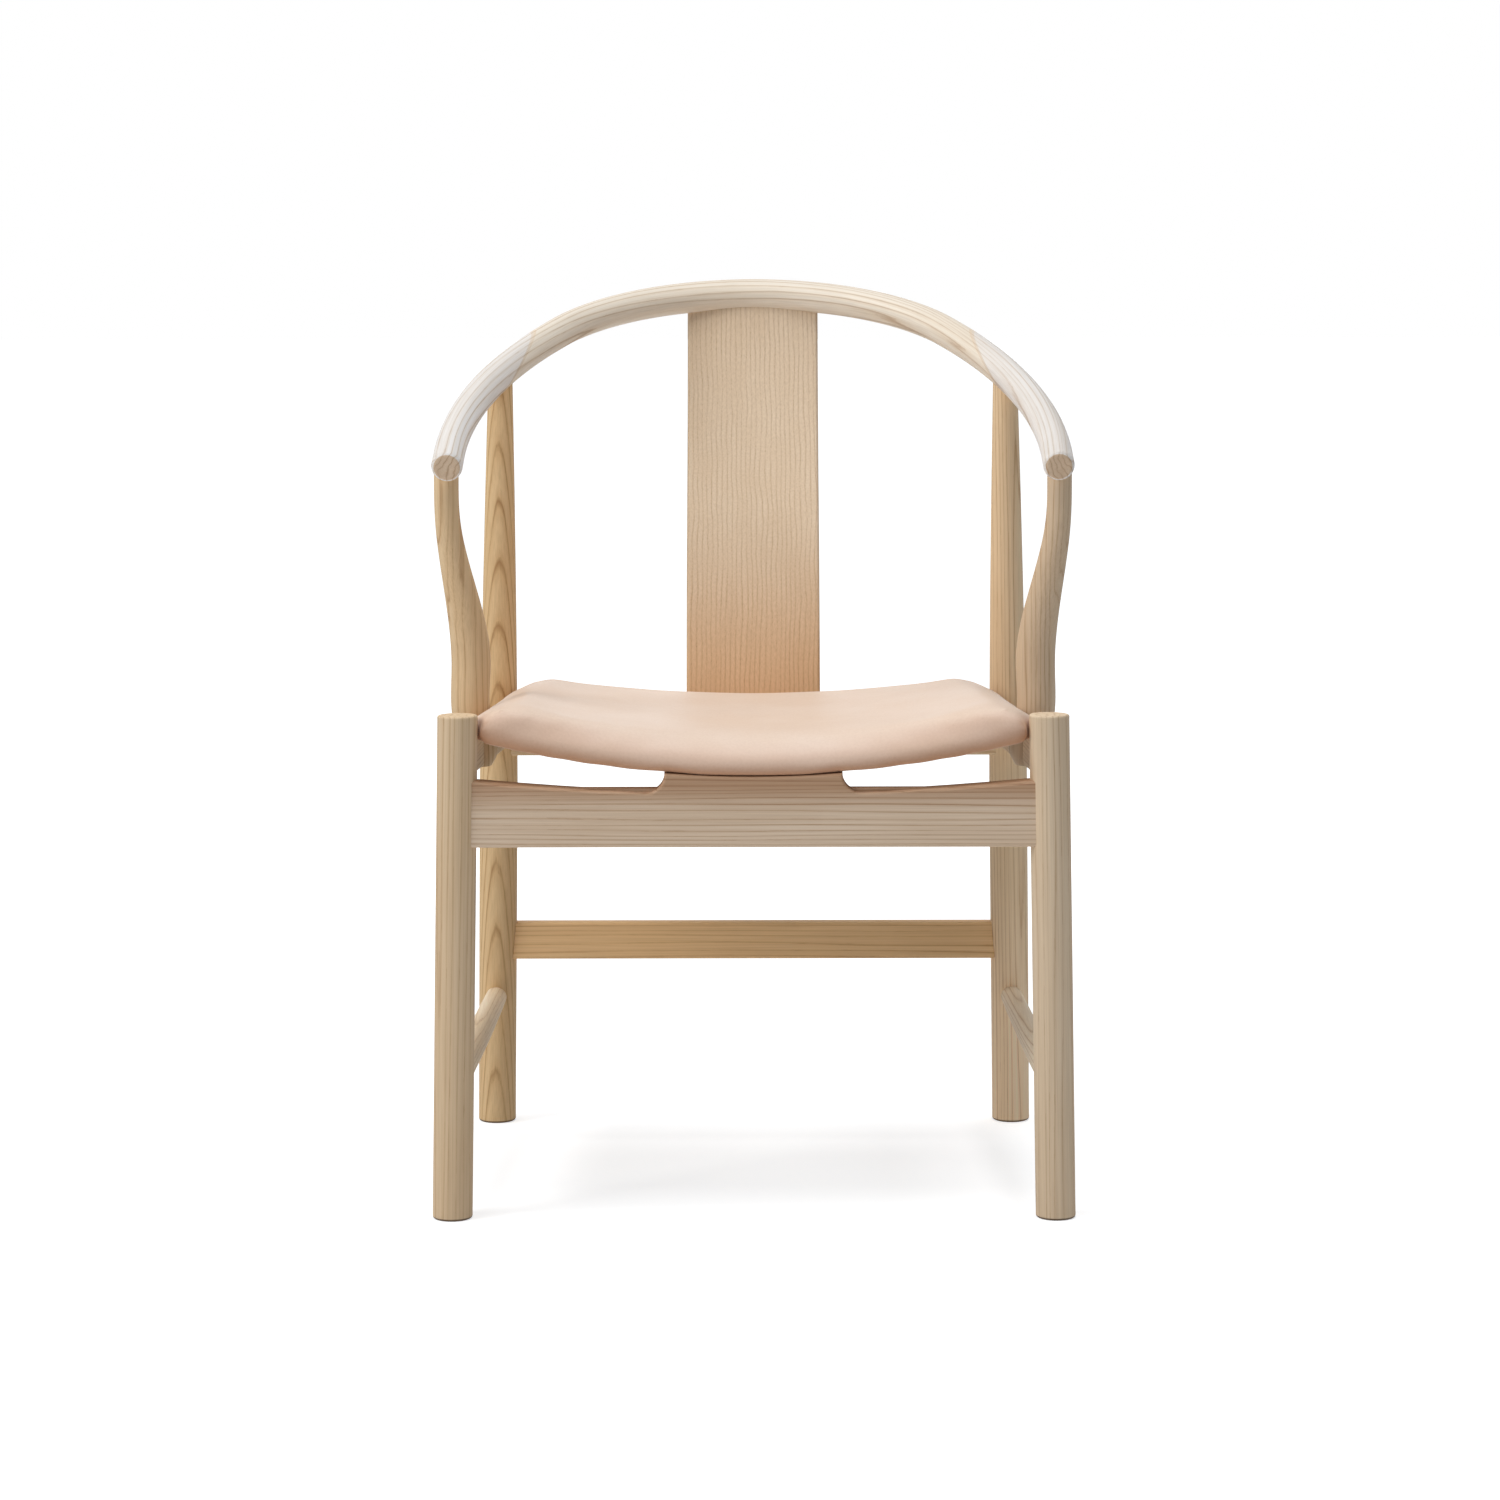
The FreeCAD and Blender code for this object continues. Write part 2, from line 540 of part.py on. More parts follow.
def slab(name, outline, corners, bends, thickness, backwards="0", mirrored=False, rounding=None,
         edgeTest=None):
    # a board seen from the front or along itself: its outline is padded evenly to both sides
    body = newBody(name)
    body.setExpression("Placement.Base.y", "places.front_line + " + backwards)
    sketch = drawOutline(newSketch(body, outline, "XZ_Plane"), corners, bends)
    pad = body.newObject("PartDesign::Pad", name + "_pad")
    pad.Profile = sketch
    pad.Midplane = True
    pad.setExpression("Length", thickness)
    last = pad
    doc.recompute()
    if rounding:
        last = body.newObject("PartDesign::Fillet", name + "_edges")
        last.Base = (pad, edgeNames(pad.Shape, edgeTest))
        last.setExpression("Radius", rounding)
    if mirrored:
        halves = body.newObject("PartDesign::Mirrored", name + "_halves")
        halves.MirrorPlane = (originPlane(body, "YZ_Plane"), [""])
        halves.Originals = [pad] if not rounding else [pad, last]
        last = halves
    body.Tip = last
    return body


def alongRail(body):
    body.setExpression("Placement", "placement(vector(places.rail_front_out; places.front_line; 0);"
                                    " rotation(vector(0; 0; 1); places.rail_turn))")
    return body


def longEdge(edge):
    # an edge that runs along the board, on one of its two faces
    box = edge.BoundBox
    return box.XLength > value("rail_edge_round") and near(box.YMin, box.YMax)


def makeSideRail():
    ends = [("0", "rail_front_bottom"), ("rail_length", "rail_rear_bottom"),
            ("rail_length", "rail_rear_top"), ("0", "rail_front_top")]
    tenonEnds = [("rail_tenon_start", "rail_front_tenon_bottom"), ("rail_tenon_end", "rail_rear_tenon_bottom"),
                 ("rail_tenon_end", "rail_rear_tenon_top"), ("rail_tenon_start", "rail_front_tenon_top")]
    blank = alongRail(slab("side_rail_blank", "side_rail_line", ends, {}, "sizes.side_rail_thick",
                           rounding="sizes.rail_edge_round", edgeTest=longEdge))
    web = alongRail(slab("side_rail_web", "side_rail_web_line", ends, {}, "sizes.support_web"))
    tenon = alongRail(slab("side_rail_tenon", "side_rail_tenon_line", tenonEnds, {}, "sizes.rail_tenon_thick"))
    mortise = alongRail(slab("side_rail_mortise", "side_rail_mortise_line", tenonEnds, {},
                             "places.rail_mortise_thick"))
    housing = doc.addObject("Part::Cylinder", "support_housing")
    housing.setExpression("Radius", "places.support_housing_radius")
    housing.setExpression("Height", "places.support_housing_tall")
    housing.setExpression("Placement.Base", "vector(places.support_out; places.front_line"
                                            " + sizes.support_back; places.support_housing_base)")
    cheeks = cutFrom("support_cheek_housing", housing, [web])
    shaped = cutFrom("side_rail_shaped", blank, [frontLegBlank, rearLegBlank, cheeks, seatSpace])
    return joinUp("side_rail_right", [shaped, tenon]), mortise


def makeSupportBlank():
    # a round post that sweeps outwards, forwards and thinner from the rail to the hand of the bow
    sections = []
    low = ("places.support_foot_height", 0)
    middle = ("(places.support_foot_height + places.support_sweep_start) / 2", 0)
    stations = [low, middle]
    sweepSteps = 6
    for step in range(sweepSteps + 1):
        share = step / sweepSteps
        height = ("places.support_sweep_start"
                  " + (places.support_sweep_end - places.support_sweep_start) * %.6f") % share
        stations.append((height, share * share * (3 - 2 * share)))
    stations.append(("(places.support_sweep_end + places.support_top_height) / 2", 1))
    stations.append(("places.support_top_height", 1))
    for number, (height, ease) in enumerate(stations, start=1):
        ring = doc.addObject("Part::Circle", "support_ring%d" % number)
        ring.setExpression("Radius", (
            "places.support_base_radius"
            " + (places.support_top_radius - places.support_base_radius) * %.6f") % ease)
        ring.setExpression("Placement.Base", (
            "vector(places.support_out + (places.support_top_out - places.support_out) * {0:.6f};"
            " places.front_line + sizes.support_back"
            " + (places.support_top_back - sizes.support_back) * {0:.6f}; {1})").format(ease, height))
        sections.append(ring)
    post = doc.addObject("Part::Loft", "arm_support_blank")
    post.Sections = sections
    post.Solid = True
    return post


def makeArmSupport(rail):
    shaped = cutFrom("arm_support_shaped", supportBlank, [bowBlank, rail])
    tenon = doc.addObject("Part::Cylinder", "support_tenon")
    bore = doc.addObject("Part::Cylinder", "support_bore")
    tenon.setExpression("Radius", "places.post_tenon_radius")
    bore.setExpression("Radius", "places.post_bore_radius")
    for rod in (tenon, bore):
        rod.setExpression("Height", "places.support_tenon_tall")
        rod.setExpression("Placement.Base", "vector(places.support_top_out; places.front_line"
                                            " + places.support_top_back; places.support_tenon_base)")
    return joinUp("arm_support_right", [shaped, tenon]), bore


def makeRearLeg(mortises):
    tenon = leaningCylinder("rear_leg_tenon", "places.post_tenon_radius", "places.rear_leg_tenon_long",
                            rearLegAxis, "places.rear_leg_tenon_start")
    bore = leaningCylinder("rear_leg_bore", "places.post_bore_radius", "places.rear_leg_tenon_long",
                           rearLegAxis, "places.rear_leg_tenon_start")
    shaped = cutFrom("rear_leg_shaped", rearLegBlank, [bowBlank] + mortises)
    return joinUp("rear_leg_right", [shaped, tenon]), bore


def makeFrontRail():
    corners = [("0", "front_rail_bottom"), ("front_rail_out", "front_rail_bottom"),
               ("front_rail_out", "front_rail_end_height"), ("tab_foot_out", "front_rail_dip_height"),
               ("tab_out", "tab_corner_height"), ("tab_out", "tab_top_height"), ("0", "seat_front_height")]
    bends = {2: ("front_rail_arch_radius", 1), 3: ("tab_corner_radius", 1), 5: ("seat_front_radius", 1)}
    tenonCorners = [("0", "front_tenon_bottom"), ("front_tenon_out", "front_tenon_bottom"),
                    ("front_tenon_out", "front_tenon_top"), ("0", "front_tenon_top")]
    blank = slab("front_rail_blank", "front_rail_line", corners, bends, "sizes.front_rail_thick",
                 mirrored=True, rounding="sizes.rail_edge_round", edgeTest=longEdge)
    tenon = slab("front_rail_tenon", "front_rail_tenon_line", tenonCorners, {}, "sizes.rail_tenon_thick",
                 mirrored=True)
    mortise = slab("front_rail_mortise", "front_rail_mortise_line", tenonCorners, {},
                   "places.rail_mortise_thick", mirrored=True)
    shaped = cutFrom("front_rail_shaped", blank, [frontLegBlank, frontLegBlankLeft])
    joined = joinUp("front_rail_joined", [shaped, tenon])
    return cutFrom("front_rail", joined, [screwSpace]), mortise


def makeRearRail(splatMortise):
    corners = [("0", "rear_rail_bottom"), ("rear_rail_out", "rear_rail_bottom"),
               ("rear_rail_out", "rear_rail_end_height"), ("0", "seat_rear_height")]
    tenonCorners = [("0", "rear_tenon_bottom"), ("rear_tenon_out", "rear_tenon_bottom"),
                    ("rear_tenon_out", "rear_tenon_top"), ("0", "rear_tenon_top")]
    place = "places.rear_rail_back"
    blank = slab("rear_rail_blank", "rear_rail_line", corners, {2: ("seat_rear_radius", 1)},
                 "sizes.rear_rail_thick", place, mirrored=True, rounding="sizes.rail_edge_round",
                 edgeTest=longEdge)
    tenon = slab("rear_rail_tenon", "rear_rail_tenon_line", tenonCorners, {}, "sizes.rail_tenon_thick", place,
                 mirrored=True)
    mortise = slab("rear_rail_mortise", "rear_rail_mortise_line", tenonCorners, {},
                   "places.rail_mortise_thick", place, mirrored=True)
    shaped = cutFrom("rear_rail_shaped", blank, [rearLegBlank, rearLegBlankLeft])
    joined = joinUp("rear_rail_joined", [shaped, tenon])
    return cutFrom("rear_rail", joined, [splatMortise]), mortise, blank


def makeRearStretcher():
    corners = [("0", "stretcher_bottom"), ("stretcher_out", "stretcher_bottom"),
               ("stretcher_out", "stretcher_top"), ("0", "stretcher_top")]
    tenonCorners = [("0", "stretcher_tenon_bottom"), ("stretcher_tenon_out", "stretcher_tenon_bottom"),
                    ("stretcher_tenon_out", "stretcher_tenon_top"), ("0", "stretcher_tenon_top")]
    place = "places.stretcher_back"
    blank = slab("rear_stretcher_blank", "rear_stretcher_line", corners, {}, "sizes.rear_stretcher_thick",
                 place, mirrored=True, rounding="sizes.rail_edge_round", edgeTest=longEdge)
    tenon = slab("rear_stretcher_tenon", "rear_stretcher_tenon_line", tenonCorners, {},
                 "sizes.rail_tenon_thick", place, mirrored=True)
    mortise = slab("rear_stretcher_mortise", "rear_stretcher_mortise_line", tenonCorners, {},
                   "places.rail_mortise_thick", place, mirrored=True)
    shaped = cutFrom("rear_stretcher_shaped", blank, [rearLegBlank, rearLegBlankLeft])
    return joinUp("rear_stretcher", [shaped, tenon]), mortise


def makeSideStretcher():
    # turned with a slight barrel, with a round tenon at each end
    body = doc.addObject("PartDesign::Body", "side_stretcher_turning")
    aimUp(body, *sideStretcherAxis)
    sketch = newSketch(body, "side_stretcher_outline", "XZ_Plane")
    drawOutline(sketch, [("0", "0"), ("side_stretcher_end_radius", "0"),
                         ("side_stretcher_end_radius", "side_stretcher_length"),
                         ("0", "side_stretcher_length")],
                {1: ("side_stretcher_barrel_radius", -1)})
    turned = body.newObject("PartDesign::Revolution", "side_stretcher_turned")
    turned.Profile = sketch
    turned.ReferenceAxis = (sketch, ["V_Axis"])
    turned.Angle = 360
    shaped = cutFrom("side_stretcher_shaped", body, [frontLegBlank, rearLegBlank])
    tenon = leaningCylinder("side_stretcher_tenon", "places.side_tenon_radius", "places.side_tenon_long",
                            sideStretcherAxis, "places.rail_tenon_start")
    bore = leaningCylinder("side_stretcher_bore", "places.side_bore_radius", "places.side_tenon_long",
                           sideStretcherAxis, "places.rail_tenon_start")
    return joinUp("side_stretcher_right", [shaped, tenon]), bore


def splatPipe(name, corners, bends):
    # a strip with two opposite bends, from inside the rear rail to the middle of the bow
    body = newBody(name)
    path = drawOutline(
        newSketch(body, name + "_bend", "YZ_Plane"),
        [("splat_start_back", "splat_start_height"), ("splat_foot_back", "splat_foot_height"),
         ("splat_waist_back", "splat_waist_height"), ("bow_apex_back", "bow_apex_height")],
        {1: ("splat_lower_radius", 1), 2: ("splat_upper_radius", -1)}, closed=False)
    doc.recompute()
    section = body.newObject("Sketcher::SketchObject", name + "_section")
    section.AttachmentSupport = [(path, "Edge1")]
    section.MapMode = "NormalToEdge"
    drawOutline(section, corners, bends)
    pipe = body.newObject("PartDesign::AdditivePipe", name + "_pipe")
    pipe.Profile = section
    pipe.Spine = (path, ["Edge1", "Edge2", "Edge3"])
    return body


def box(out, back):
    return [("-" + out, "-" + back), (out, "-" + back), (out, back), ("-" + out, back)]


def makeSplat():
    out, flatOut, back, flatBack = "splat_half_width", "splat_flat_out", "splat_half_thick", "splat_flat_back"
    rounded = [("-" + flatOut, "-" + back), (flatOut, "-" + back), (out, "-" + flatBack), (out, flatBack),
               (flatOut, back), ("-" + flatOut, back), ("-" + out, flatBack), ("-" + out, "-" + flatBack)]
    corner = ("splat_edge_round", -1)
    blank = splatPipe("splat_blank", rounded, {1: corner, 3: corner, 5: corner, 7: corner})
    tenon = splatPipe("splat_tenon", box("splat_tenon_out", "splat_tenon_back"), {})
    mortise = splatPipe("splat_mortise", box("splat_mortise_out", "splat_mortise_back"), {})
    return blank, tenon, mortise


def makeScrews(name, gap, headTall):
    # the four equal screws that hold the seat, or with a gap and a long head the holes that they sit in
    spots = [("sizes.tab_screw_out", "0", "places.front_screw_height"),
             ("-sizes.tab_screw_out", "0", "places.front_screw_height"),
             ("places.rear_screw_out", "places.rear_screw_back", "places.rear_screw_height"),
             ("-places.rear_screw_out", "places.rear_screw_back", "places.rear_screw_height")]
    rods = []
    for number, (out, back, height) in enumerate(spots, start=1):
        for part, length, below in (("shank", "places.screw_length", "0"), ("head", headTall, headTall)):
            rod = doc.addObject("Part::Cylinder", "%s_%s%d" % (name, part, number))
            rod.setExpression("Radius", "places.screw_%s_radius + %s" % (part, gap))
            rod.setExpression("Height", length)
            rod.setExpression("Placement.Base", "vector(%s; places.front_line + %s; %s - %s)"
                              % (out, back, height, below))
            rods.append(rod)
    return joinUp(name, rods)


def makeSeatBlock():
    body = newBody("seat_block_blank")
    sketch = newSketch(body, "seat_block_line", "XY_Plane")
    sketch.setExpression("AttachmentOffset.Base.z", "places.block_bottom")
    drawOutline(sketch, [("block_inner_out", "block_back"), ("block_front_out", "block_front"),
                         ("block_corner_out", "block_back")], {})
    pad = body.newObject("PartDesign::Pad", "seat_block_pad")
    pad.Profile = sketch
    pad.setExpression("Length", "sizes.block_tall")
    return cutFrom("seat_block_right", body, [rearLegBlank, seatSpace, screwSpace])


# The seat pad is soft, so it is lofted in code through sections across the chair

def sag(radius, out):
    return radius - math.sqrt(radius ** 2 - out ** 2)


def padStation(back, edgeInset):
    # half width, height of the underside's middle and its radius, at a distance from the front legs
    front = -value("seat_front_overhang")
    share = (back - front) / (value("seat_rear_back") - front)
    middle = value("seat_front_height") + (value("seat_rear_height") - value("seat_front_height")) * share
    bend = (1 - share) / value("seat_front_radius") + share / value("seat_rear_radius")
    halfWidth = (value("rail_front_out") - value("rail_narrowing") * back
                 + value("side_rail_thick") / 2 - value("seat_ledge") - edgeInset)
    return halfWidth, middle + value("soft_gap"), 1 / bend


def loftThrough(stations, drawSection, edgeInset):
    wires = []
    for back in stations:
        halfWidth, middle, radius = padStation(back, edgeInset)
        wires.append(drawSection(back, value("front_line") + back, halfWidth, middle, radius))
    return Part.makeLoft(wires, True, True)


def padEnds(edgeInset):
    return -value("seat_front_overhang") + edgeInset, value("seat_rear_back") - edgeInset


def padSolid(edgeInset, bottomInset, topInset):
    front, rear = padEnds(edgeInset)
    roll = value("seat_roll")
    rollShares = (0, 0.1, 0.3, 0.6, 1)
    middleShares = (0.3, 0.7)
    stations = [front + roll * share for share in rollShares]
    stations += [front + (rear - front) * share for share in middleShares]
    stations += [rear - roll * share for share in reversed(rollShares)]

    def drawSection(back, along, halfWidth, middle, radius):
        distance = min(back - front, rear - back, roll)
        turned = 1 - math.sqrt(1 - (1 - distance / roll) ** 2)
        low = middle + bottomInset + value("seat_under_roll") * turned
        high = middle + value("seat_pad_tall") - topInset - roll * turned
        scale = (high - low) / value("seat_pad_tall")
        shoulderOut = halfWidth - value("seat_crown_inset")
        edge = low + sag(radius, halfWidth)
        border = edge + value("seat_border_tall") * scale
        shoulder = high + sag(radius, shoulderOut) + value("seat_crown_rise") * scale
        rise = FreeCAD.Vector(halfWidth - shoulderOut, 0, shoulder - border)
        bulge = FreeCAD.Vector(rise.z, 0, rise.x).normalize() * (value("seat_side_bulge") * scale)
        halfway = FreeCAD.Vector((halfWidth + shoulderOut) / 2, along, (border + shoulder) / 2) + bulge

        def at(side, out, height):
            return FreeCAD.Vector(side * out, along, height)

        pieces = [Part.Arc(at(-1, halfWidth, edge), at(1, 0, low), at(1, halfWidth, edge)),
                  Part.LineSegment(at(1, halfWidth, edge), at(1, halfWidth, border)),
                  Part.Arc(at(1, halfWidth, border), halfway, at(1, shoulderOut, shoulder)),
                  Part.Arc(at(1, shoulderOut, shoulder), at(1, 0, high), at(-1, shoulderOut, shoulder)),
                  Part.Arc(at(-1, shoulderOut, shoulder), at(-1, halfway.x, halfway.z),
                           at(-1, halfWidth, border)),
                  Part.LineSegment(at(-1, halfWidth, border), at(-1, halfWidth, edge))]
        return Part.Wire([piece.toShape() for piece in pieces])

    return loftThrough(stations, drawSection, edgeInset)


def layer(edgeInset, low, high):
    # a sheet that follows the underside of the pad, with upright edges
    front, rear = padEnds(edgeInset)

    def drawSection(back, along, halfWidth, middle, radius):
        rise = sag(radius, halfWidth)

        def arc(first, last, height):
            return Part.Arc(FreeCAD.Vector(first * halfWidth, along, middle + height + rise),
                            FreeCAD.Vector(0, along, middle + height),
                            FreeCAD.Vector(last * halfWidth, along, middle + height + rise)).toShape()

        def side(way, start, end):
            return Part.makeLine(FreeCAD.Vector(way * halfWidth, along, middle + start + rise),
                                 FreeCAD.Vector(way * halfWidth, along, middle + end + rise))

        return Part.Wire([arc(-1, 1, low), side(1, low, high), arc(1, -1, high), side(-1, high, low)])

    return loftThrough([front, (front + rear) / 2, rear], drawSection, edgeInset)


def postSpace(gap):
    # the three posts on each side that the pad is cut around, all grown by a gap
    up = value("post_cut_height")
    axes = [(value("front_foot_out"), 0, -value("front_leg_splay") / value("front_leg_height"), 0,
             value("front_leg_dia")),
            (value("support_out"), value("support_back"), 0, 0, value("support_base_dia")),
            (value("rear_foot_out"), value("rear_foot_back"),
             -value("rear_lean_in") / value("rear_top_height"),
             -value("rear_lean_forward") / value("rear_top_height"), value("rear_seat_dia"))]
    rods = []
    for out, back, leanOut, leanBack, across in axes:
        for side in (1, -1):
            foot = FreeCAD.Vector(side * (out + leanOut * up), value("front_line") + back + leanBack * up, up)
            rods.append(Part.makeCylinder(across / 2 + gap, value("post_cut_tall"), foot,
                                          FreeCAD.Vector(side * leanOut, leanBack, 1)))
    return rods


def feature(name, shape):
    thing = doc.addObject("Part::Feature", name)
    thing.Shape = shape
    return thing


def makeSeat():
    thick = value("leather_thick")
    gap = value("soft_gap")
    inside = thick + value("board_thick")
    turnUnder = value("leather_turn_under")
    outer = padSolid(0, 0, 0).cut(postSpace(gap))
    inner = padSolid(thick, thick, thick).cut(postSpace(gap + thick))
    window = layer(turnUnder, -gap, thick + gap)
    aboveBoard = layer(-thick, inside, value("overrun"))
    leather = outer.cut(inner).cut(window.cut(inner))
    foam = inner.common(aboveBoard)
    board = inner.cut(aboveBoard)
    lining = layer(turnUnder + gap, 0, thick - gap)
    return leather, foam, board, lining


print("blanks")
frontLegBlank = makeFrontLegBlank()
rearLegBlank = makeRearLegBlank()
bowBlank = makeBowBlank()
supportBlank = makeSupportBlank()
frontLegBlankLeft = mirrorOf("front_leg_blank_left", frontLegBlank)
rearLegBlankLeft = mirrorOf("rear_leg_blank_left", rearLegBlank)
gap = value("soft_gap")
seatSpace = feature("seat_space", padSolid(-gap, -gap, -gap))
screws = makeScrews("seat_screws", "0", "sizes.screw_head_tall")
screwSpace = makeScrews("screw_space", "sizes.glue_gap", "sizes.overrun")

print("joined members")
splatBlank, splatTenon, splatMortise = makeSplat()
sideRail, sideRailMortise = makeSideRail()
armSupport, supportBore = makeArmSupport(sideRail)
frontRail, frontRailMortise = makeFrontRail()
rearRail, rearRailMortise, rearRailBlank = makeRearRail(splatMortise)
rearStretcher, stretcherMortise = makeRearStretcher()
sideStretcher, sideStretcherBore = makeSideStretcher()
frontLeg = cutFrom("front_leg_right", frontLegBlank, [sideRailMortise, frontRailMortise, sideStretcherBore])
rearLeg, rearLegBore = makeRearLeg([sideRailMortise, rearRailMortise, stretcherMortise, sideStretcherBore])
splatShaped = cutFrom("splat_shaped", splatBlank, [rearRailBlank, bowBlank])
splat = joinUp("back_splat", [splatShaped, splatTenon])
bow = cutFrom("bow", bowBlank, [
    splatMortise, rearLegBore, mirrorOf("rear_leg_bore_left", rearLegBore), supportBore,
    mirrorOf("support_bore_left", supportBore)])
seatBlock = makeSeatBlock()

print("seat")
leatherShape, foamShape, boardShape, liningShape = makeSeat()
leather = cutFrom("seat_leather", feature("leather_skin", leatherShape), [screwSpace])
board = cutFrom("seat_board", feature("board_blank", boardShape), [screwSpace])
foam = feature("seat_foam", foamShape)
lining = feature("seat_lining", liningShape)

nodes = {"bow": bow, "back_splat": splat, "front_rail": frontRail, "rear_rail": rearRail,
         "rear_stretcher": rearStretcher, "seat_leather": leather, "seat_board": board, "seat_foam": foam,
         "seat_lining": lining, "seat_screws": screws}
for name, thing in (("front_leg", frontLeg), ("rear_leg", rearLeg), ("arm_support", armSupport),
                    ("side_rail", sideRail), ("side_stretcher", sideStretcher), ("seat_block", seatBlock)):
    nodes[name + "_right"] = thing
    nodes[name + "_left"] = mirrorOf(name + "_left", thing)
doc.recompute()

for thing in doc.Objects:
    if "Invalid" in thing.State or "Error" in thing.State:
        raise RuntimeError("not computed: " + thing.Name)
os.makedirs("parts", exist_ok=True)
for name, thing in nodes.items():
    thing.Label = name
    if thing.Shape.isNull() or not thing.Shape.isValid():
        raise RuntimeError("no valid shape: " + name)
    thing.Shape.exportStep("parts/" + name + ".step")
    print(name, len(thing.Shape.Solids), round(thing.Shape.Volume))
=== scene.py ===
import bmesh
import bpy
import math
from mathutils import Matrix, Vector


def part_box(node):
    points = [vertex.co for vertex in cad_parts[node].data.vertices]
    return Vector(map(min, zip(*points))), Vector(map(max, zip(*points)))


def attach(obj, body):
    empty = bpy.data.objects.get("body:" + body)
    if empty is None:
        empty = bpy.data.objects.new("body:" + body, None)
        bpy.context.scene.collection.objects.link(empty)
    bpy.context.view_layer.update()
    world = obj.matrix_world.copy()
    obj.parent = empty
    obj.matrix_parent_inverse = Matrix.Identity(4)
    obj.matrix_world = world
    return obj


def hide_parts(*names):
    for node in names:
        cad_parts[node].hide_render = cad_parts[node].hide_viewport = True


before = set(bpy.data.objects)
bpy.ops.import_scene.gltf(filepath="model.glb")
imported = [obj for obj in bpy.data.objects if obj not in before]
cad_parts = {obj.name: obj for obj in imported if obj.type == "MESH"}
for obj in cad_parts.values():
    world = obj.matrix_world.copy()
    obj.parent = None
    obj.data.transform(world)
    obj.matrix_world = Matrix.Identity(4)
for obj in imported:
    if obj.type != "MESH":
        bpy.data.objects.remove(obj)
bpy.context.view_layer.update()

# Pale ash armchair with a bent bow and a saddle-shaped leather seat pad
# The wood, the lining and the screws keep their solids; the seat pad is modelled here

scene = bpy.context.scene


def fromScreen(red, green, blue):  # a screen colour from 0 to 255, as the linear colour a shader takes
    def linear(level):
        share = level / 255
        return share / 12.92 if share <= 0.04045 else ((share + 0.055) / 1.055) ** 2.4
    return (linear(red), linear(green), linear(blue), 1)


def addNode(tree, kind, **settings):
    node = tree.nodes.new(kind)
    for name, setting in settings.items():
        setattr(node, name, setting)
    return node


def newMaterial(name):
    material = bpy.data.materials.new(name)
    material.use_nodes = True
    tree = material.node_tree
    shader = tree.nodes["Principled BSDF"]
    return material, tree, shader


def feed(tree, sockets, values):
    # each socket takes a link or a plain value
    for socket, given in zip(sockets, values):
        if isinstance(given, bpy.types.NodeSocket):
            tree.links.new(given, socket)
        else:
            socket.default_value = given


def maths(tree, operation, *values):
    node = addNode(tree, "ShaderNodeMath", operation=operation)
    feed(tree, node.inputs, values)
    return node.outputs[0]


def vectorMaths(tree, operation, *values):
    node = addNode(tree, "ShaderNodeVectorMath", operation=operation)
    feed(tree, node.inputs, values)
    return node.outputs["Value" if operation == "LENGTH" else "Vector"]


def noise(tree, vector, scale, detail=2.0, roughness=0.5, outlet="Fac"):
    node = addNode(tree, "ShaderNodeTexNoise")
    node.inputs["Scale"].default_value = scale
    node.inputs["Detail"].default_value = detail
    node.inputs["Roughness"].default_value = roughness
    tree.links.new(vector, node.inputs["Vector"])
    return node.outputs[outlet]


def stretch(tree, vector, across, along):
    node = addNode(tree, "ShaderNodeMapping")
    node.inputs["Scale"].default_value = (across, across, along)
    tree.links.new(vector, node.inputs["Vector"])
    return node.outputs["Vector"]


def mixColour(tree, share, first, second, blend="MIX"):
    # sockets 6 and 7, and outlet 2, are the node's colour ones
    node = addNode(tree, "ShaderNodeMix", data_type="RGBA", blend_type=blend)
    feed(tree, (node.inputs[0], node.inputs[6], node.inputs[7]), (share, first, second))
    return node.outputs[2]


def objectPlace(tree):
    return addNode(tree, "ShaderNodeTexCoord").outputs["Object"]


def axesOf(tree, vector):
    # the X, Y and Z sockets of a vector
    split = addNode(tree, "ShaderNodeSeparateXYZ")
    tree.links.new(vector, split.inputs[0])
    return split.outputs


def facing(tree):
    # the X, Y and Z sockets of the surface's normal
    return axesOf(tree, addNode(tree, "ShaderNodeTexCoord").outputs["Normal"])


def smoothStep(tree, value, fromRange, toRange=(0, 1)):
    node = addNode(tree, "ShaderNodeMapRange", interpolation_type="SMOOTHSTEP")
    tree.links.new(value, node.inputs["Value"])
    for name, level in zip(("From Min", "From Max", "To Min", "To Max"), (*fromRange, *toRange)):
        node.inputs[name].default_value = level
    return node.outputs["Result"]


def addBump(tree, shader, height, strength, depth):
    bump = addNode(tree, "ShaderNodeBump")
    bump.inputs["Strength"].default_value = strength
    bump.inputs["Distance"].default_value = depth
    tree.links.new(height, bump.inputs["Height"])
    tree.links.new(bump.outputs["Normal"], shader.inputs["Normal"])


def ramp(tree, value, stops):
    node = addNode(tree, "ShaderNodeValToRGB")
    elements = node.color_ramp.elements
    while len(elements) < len(stops):
        elements.new(0.5)
    for element, (position, colour) in zip(elements, stops):
        element.position = position
        element.color = colour
    tree.links.new(value, node.inputs["Fac"])
    return node.outputs["Color"]


untinted = (1, 1, 1, 1)

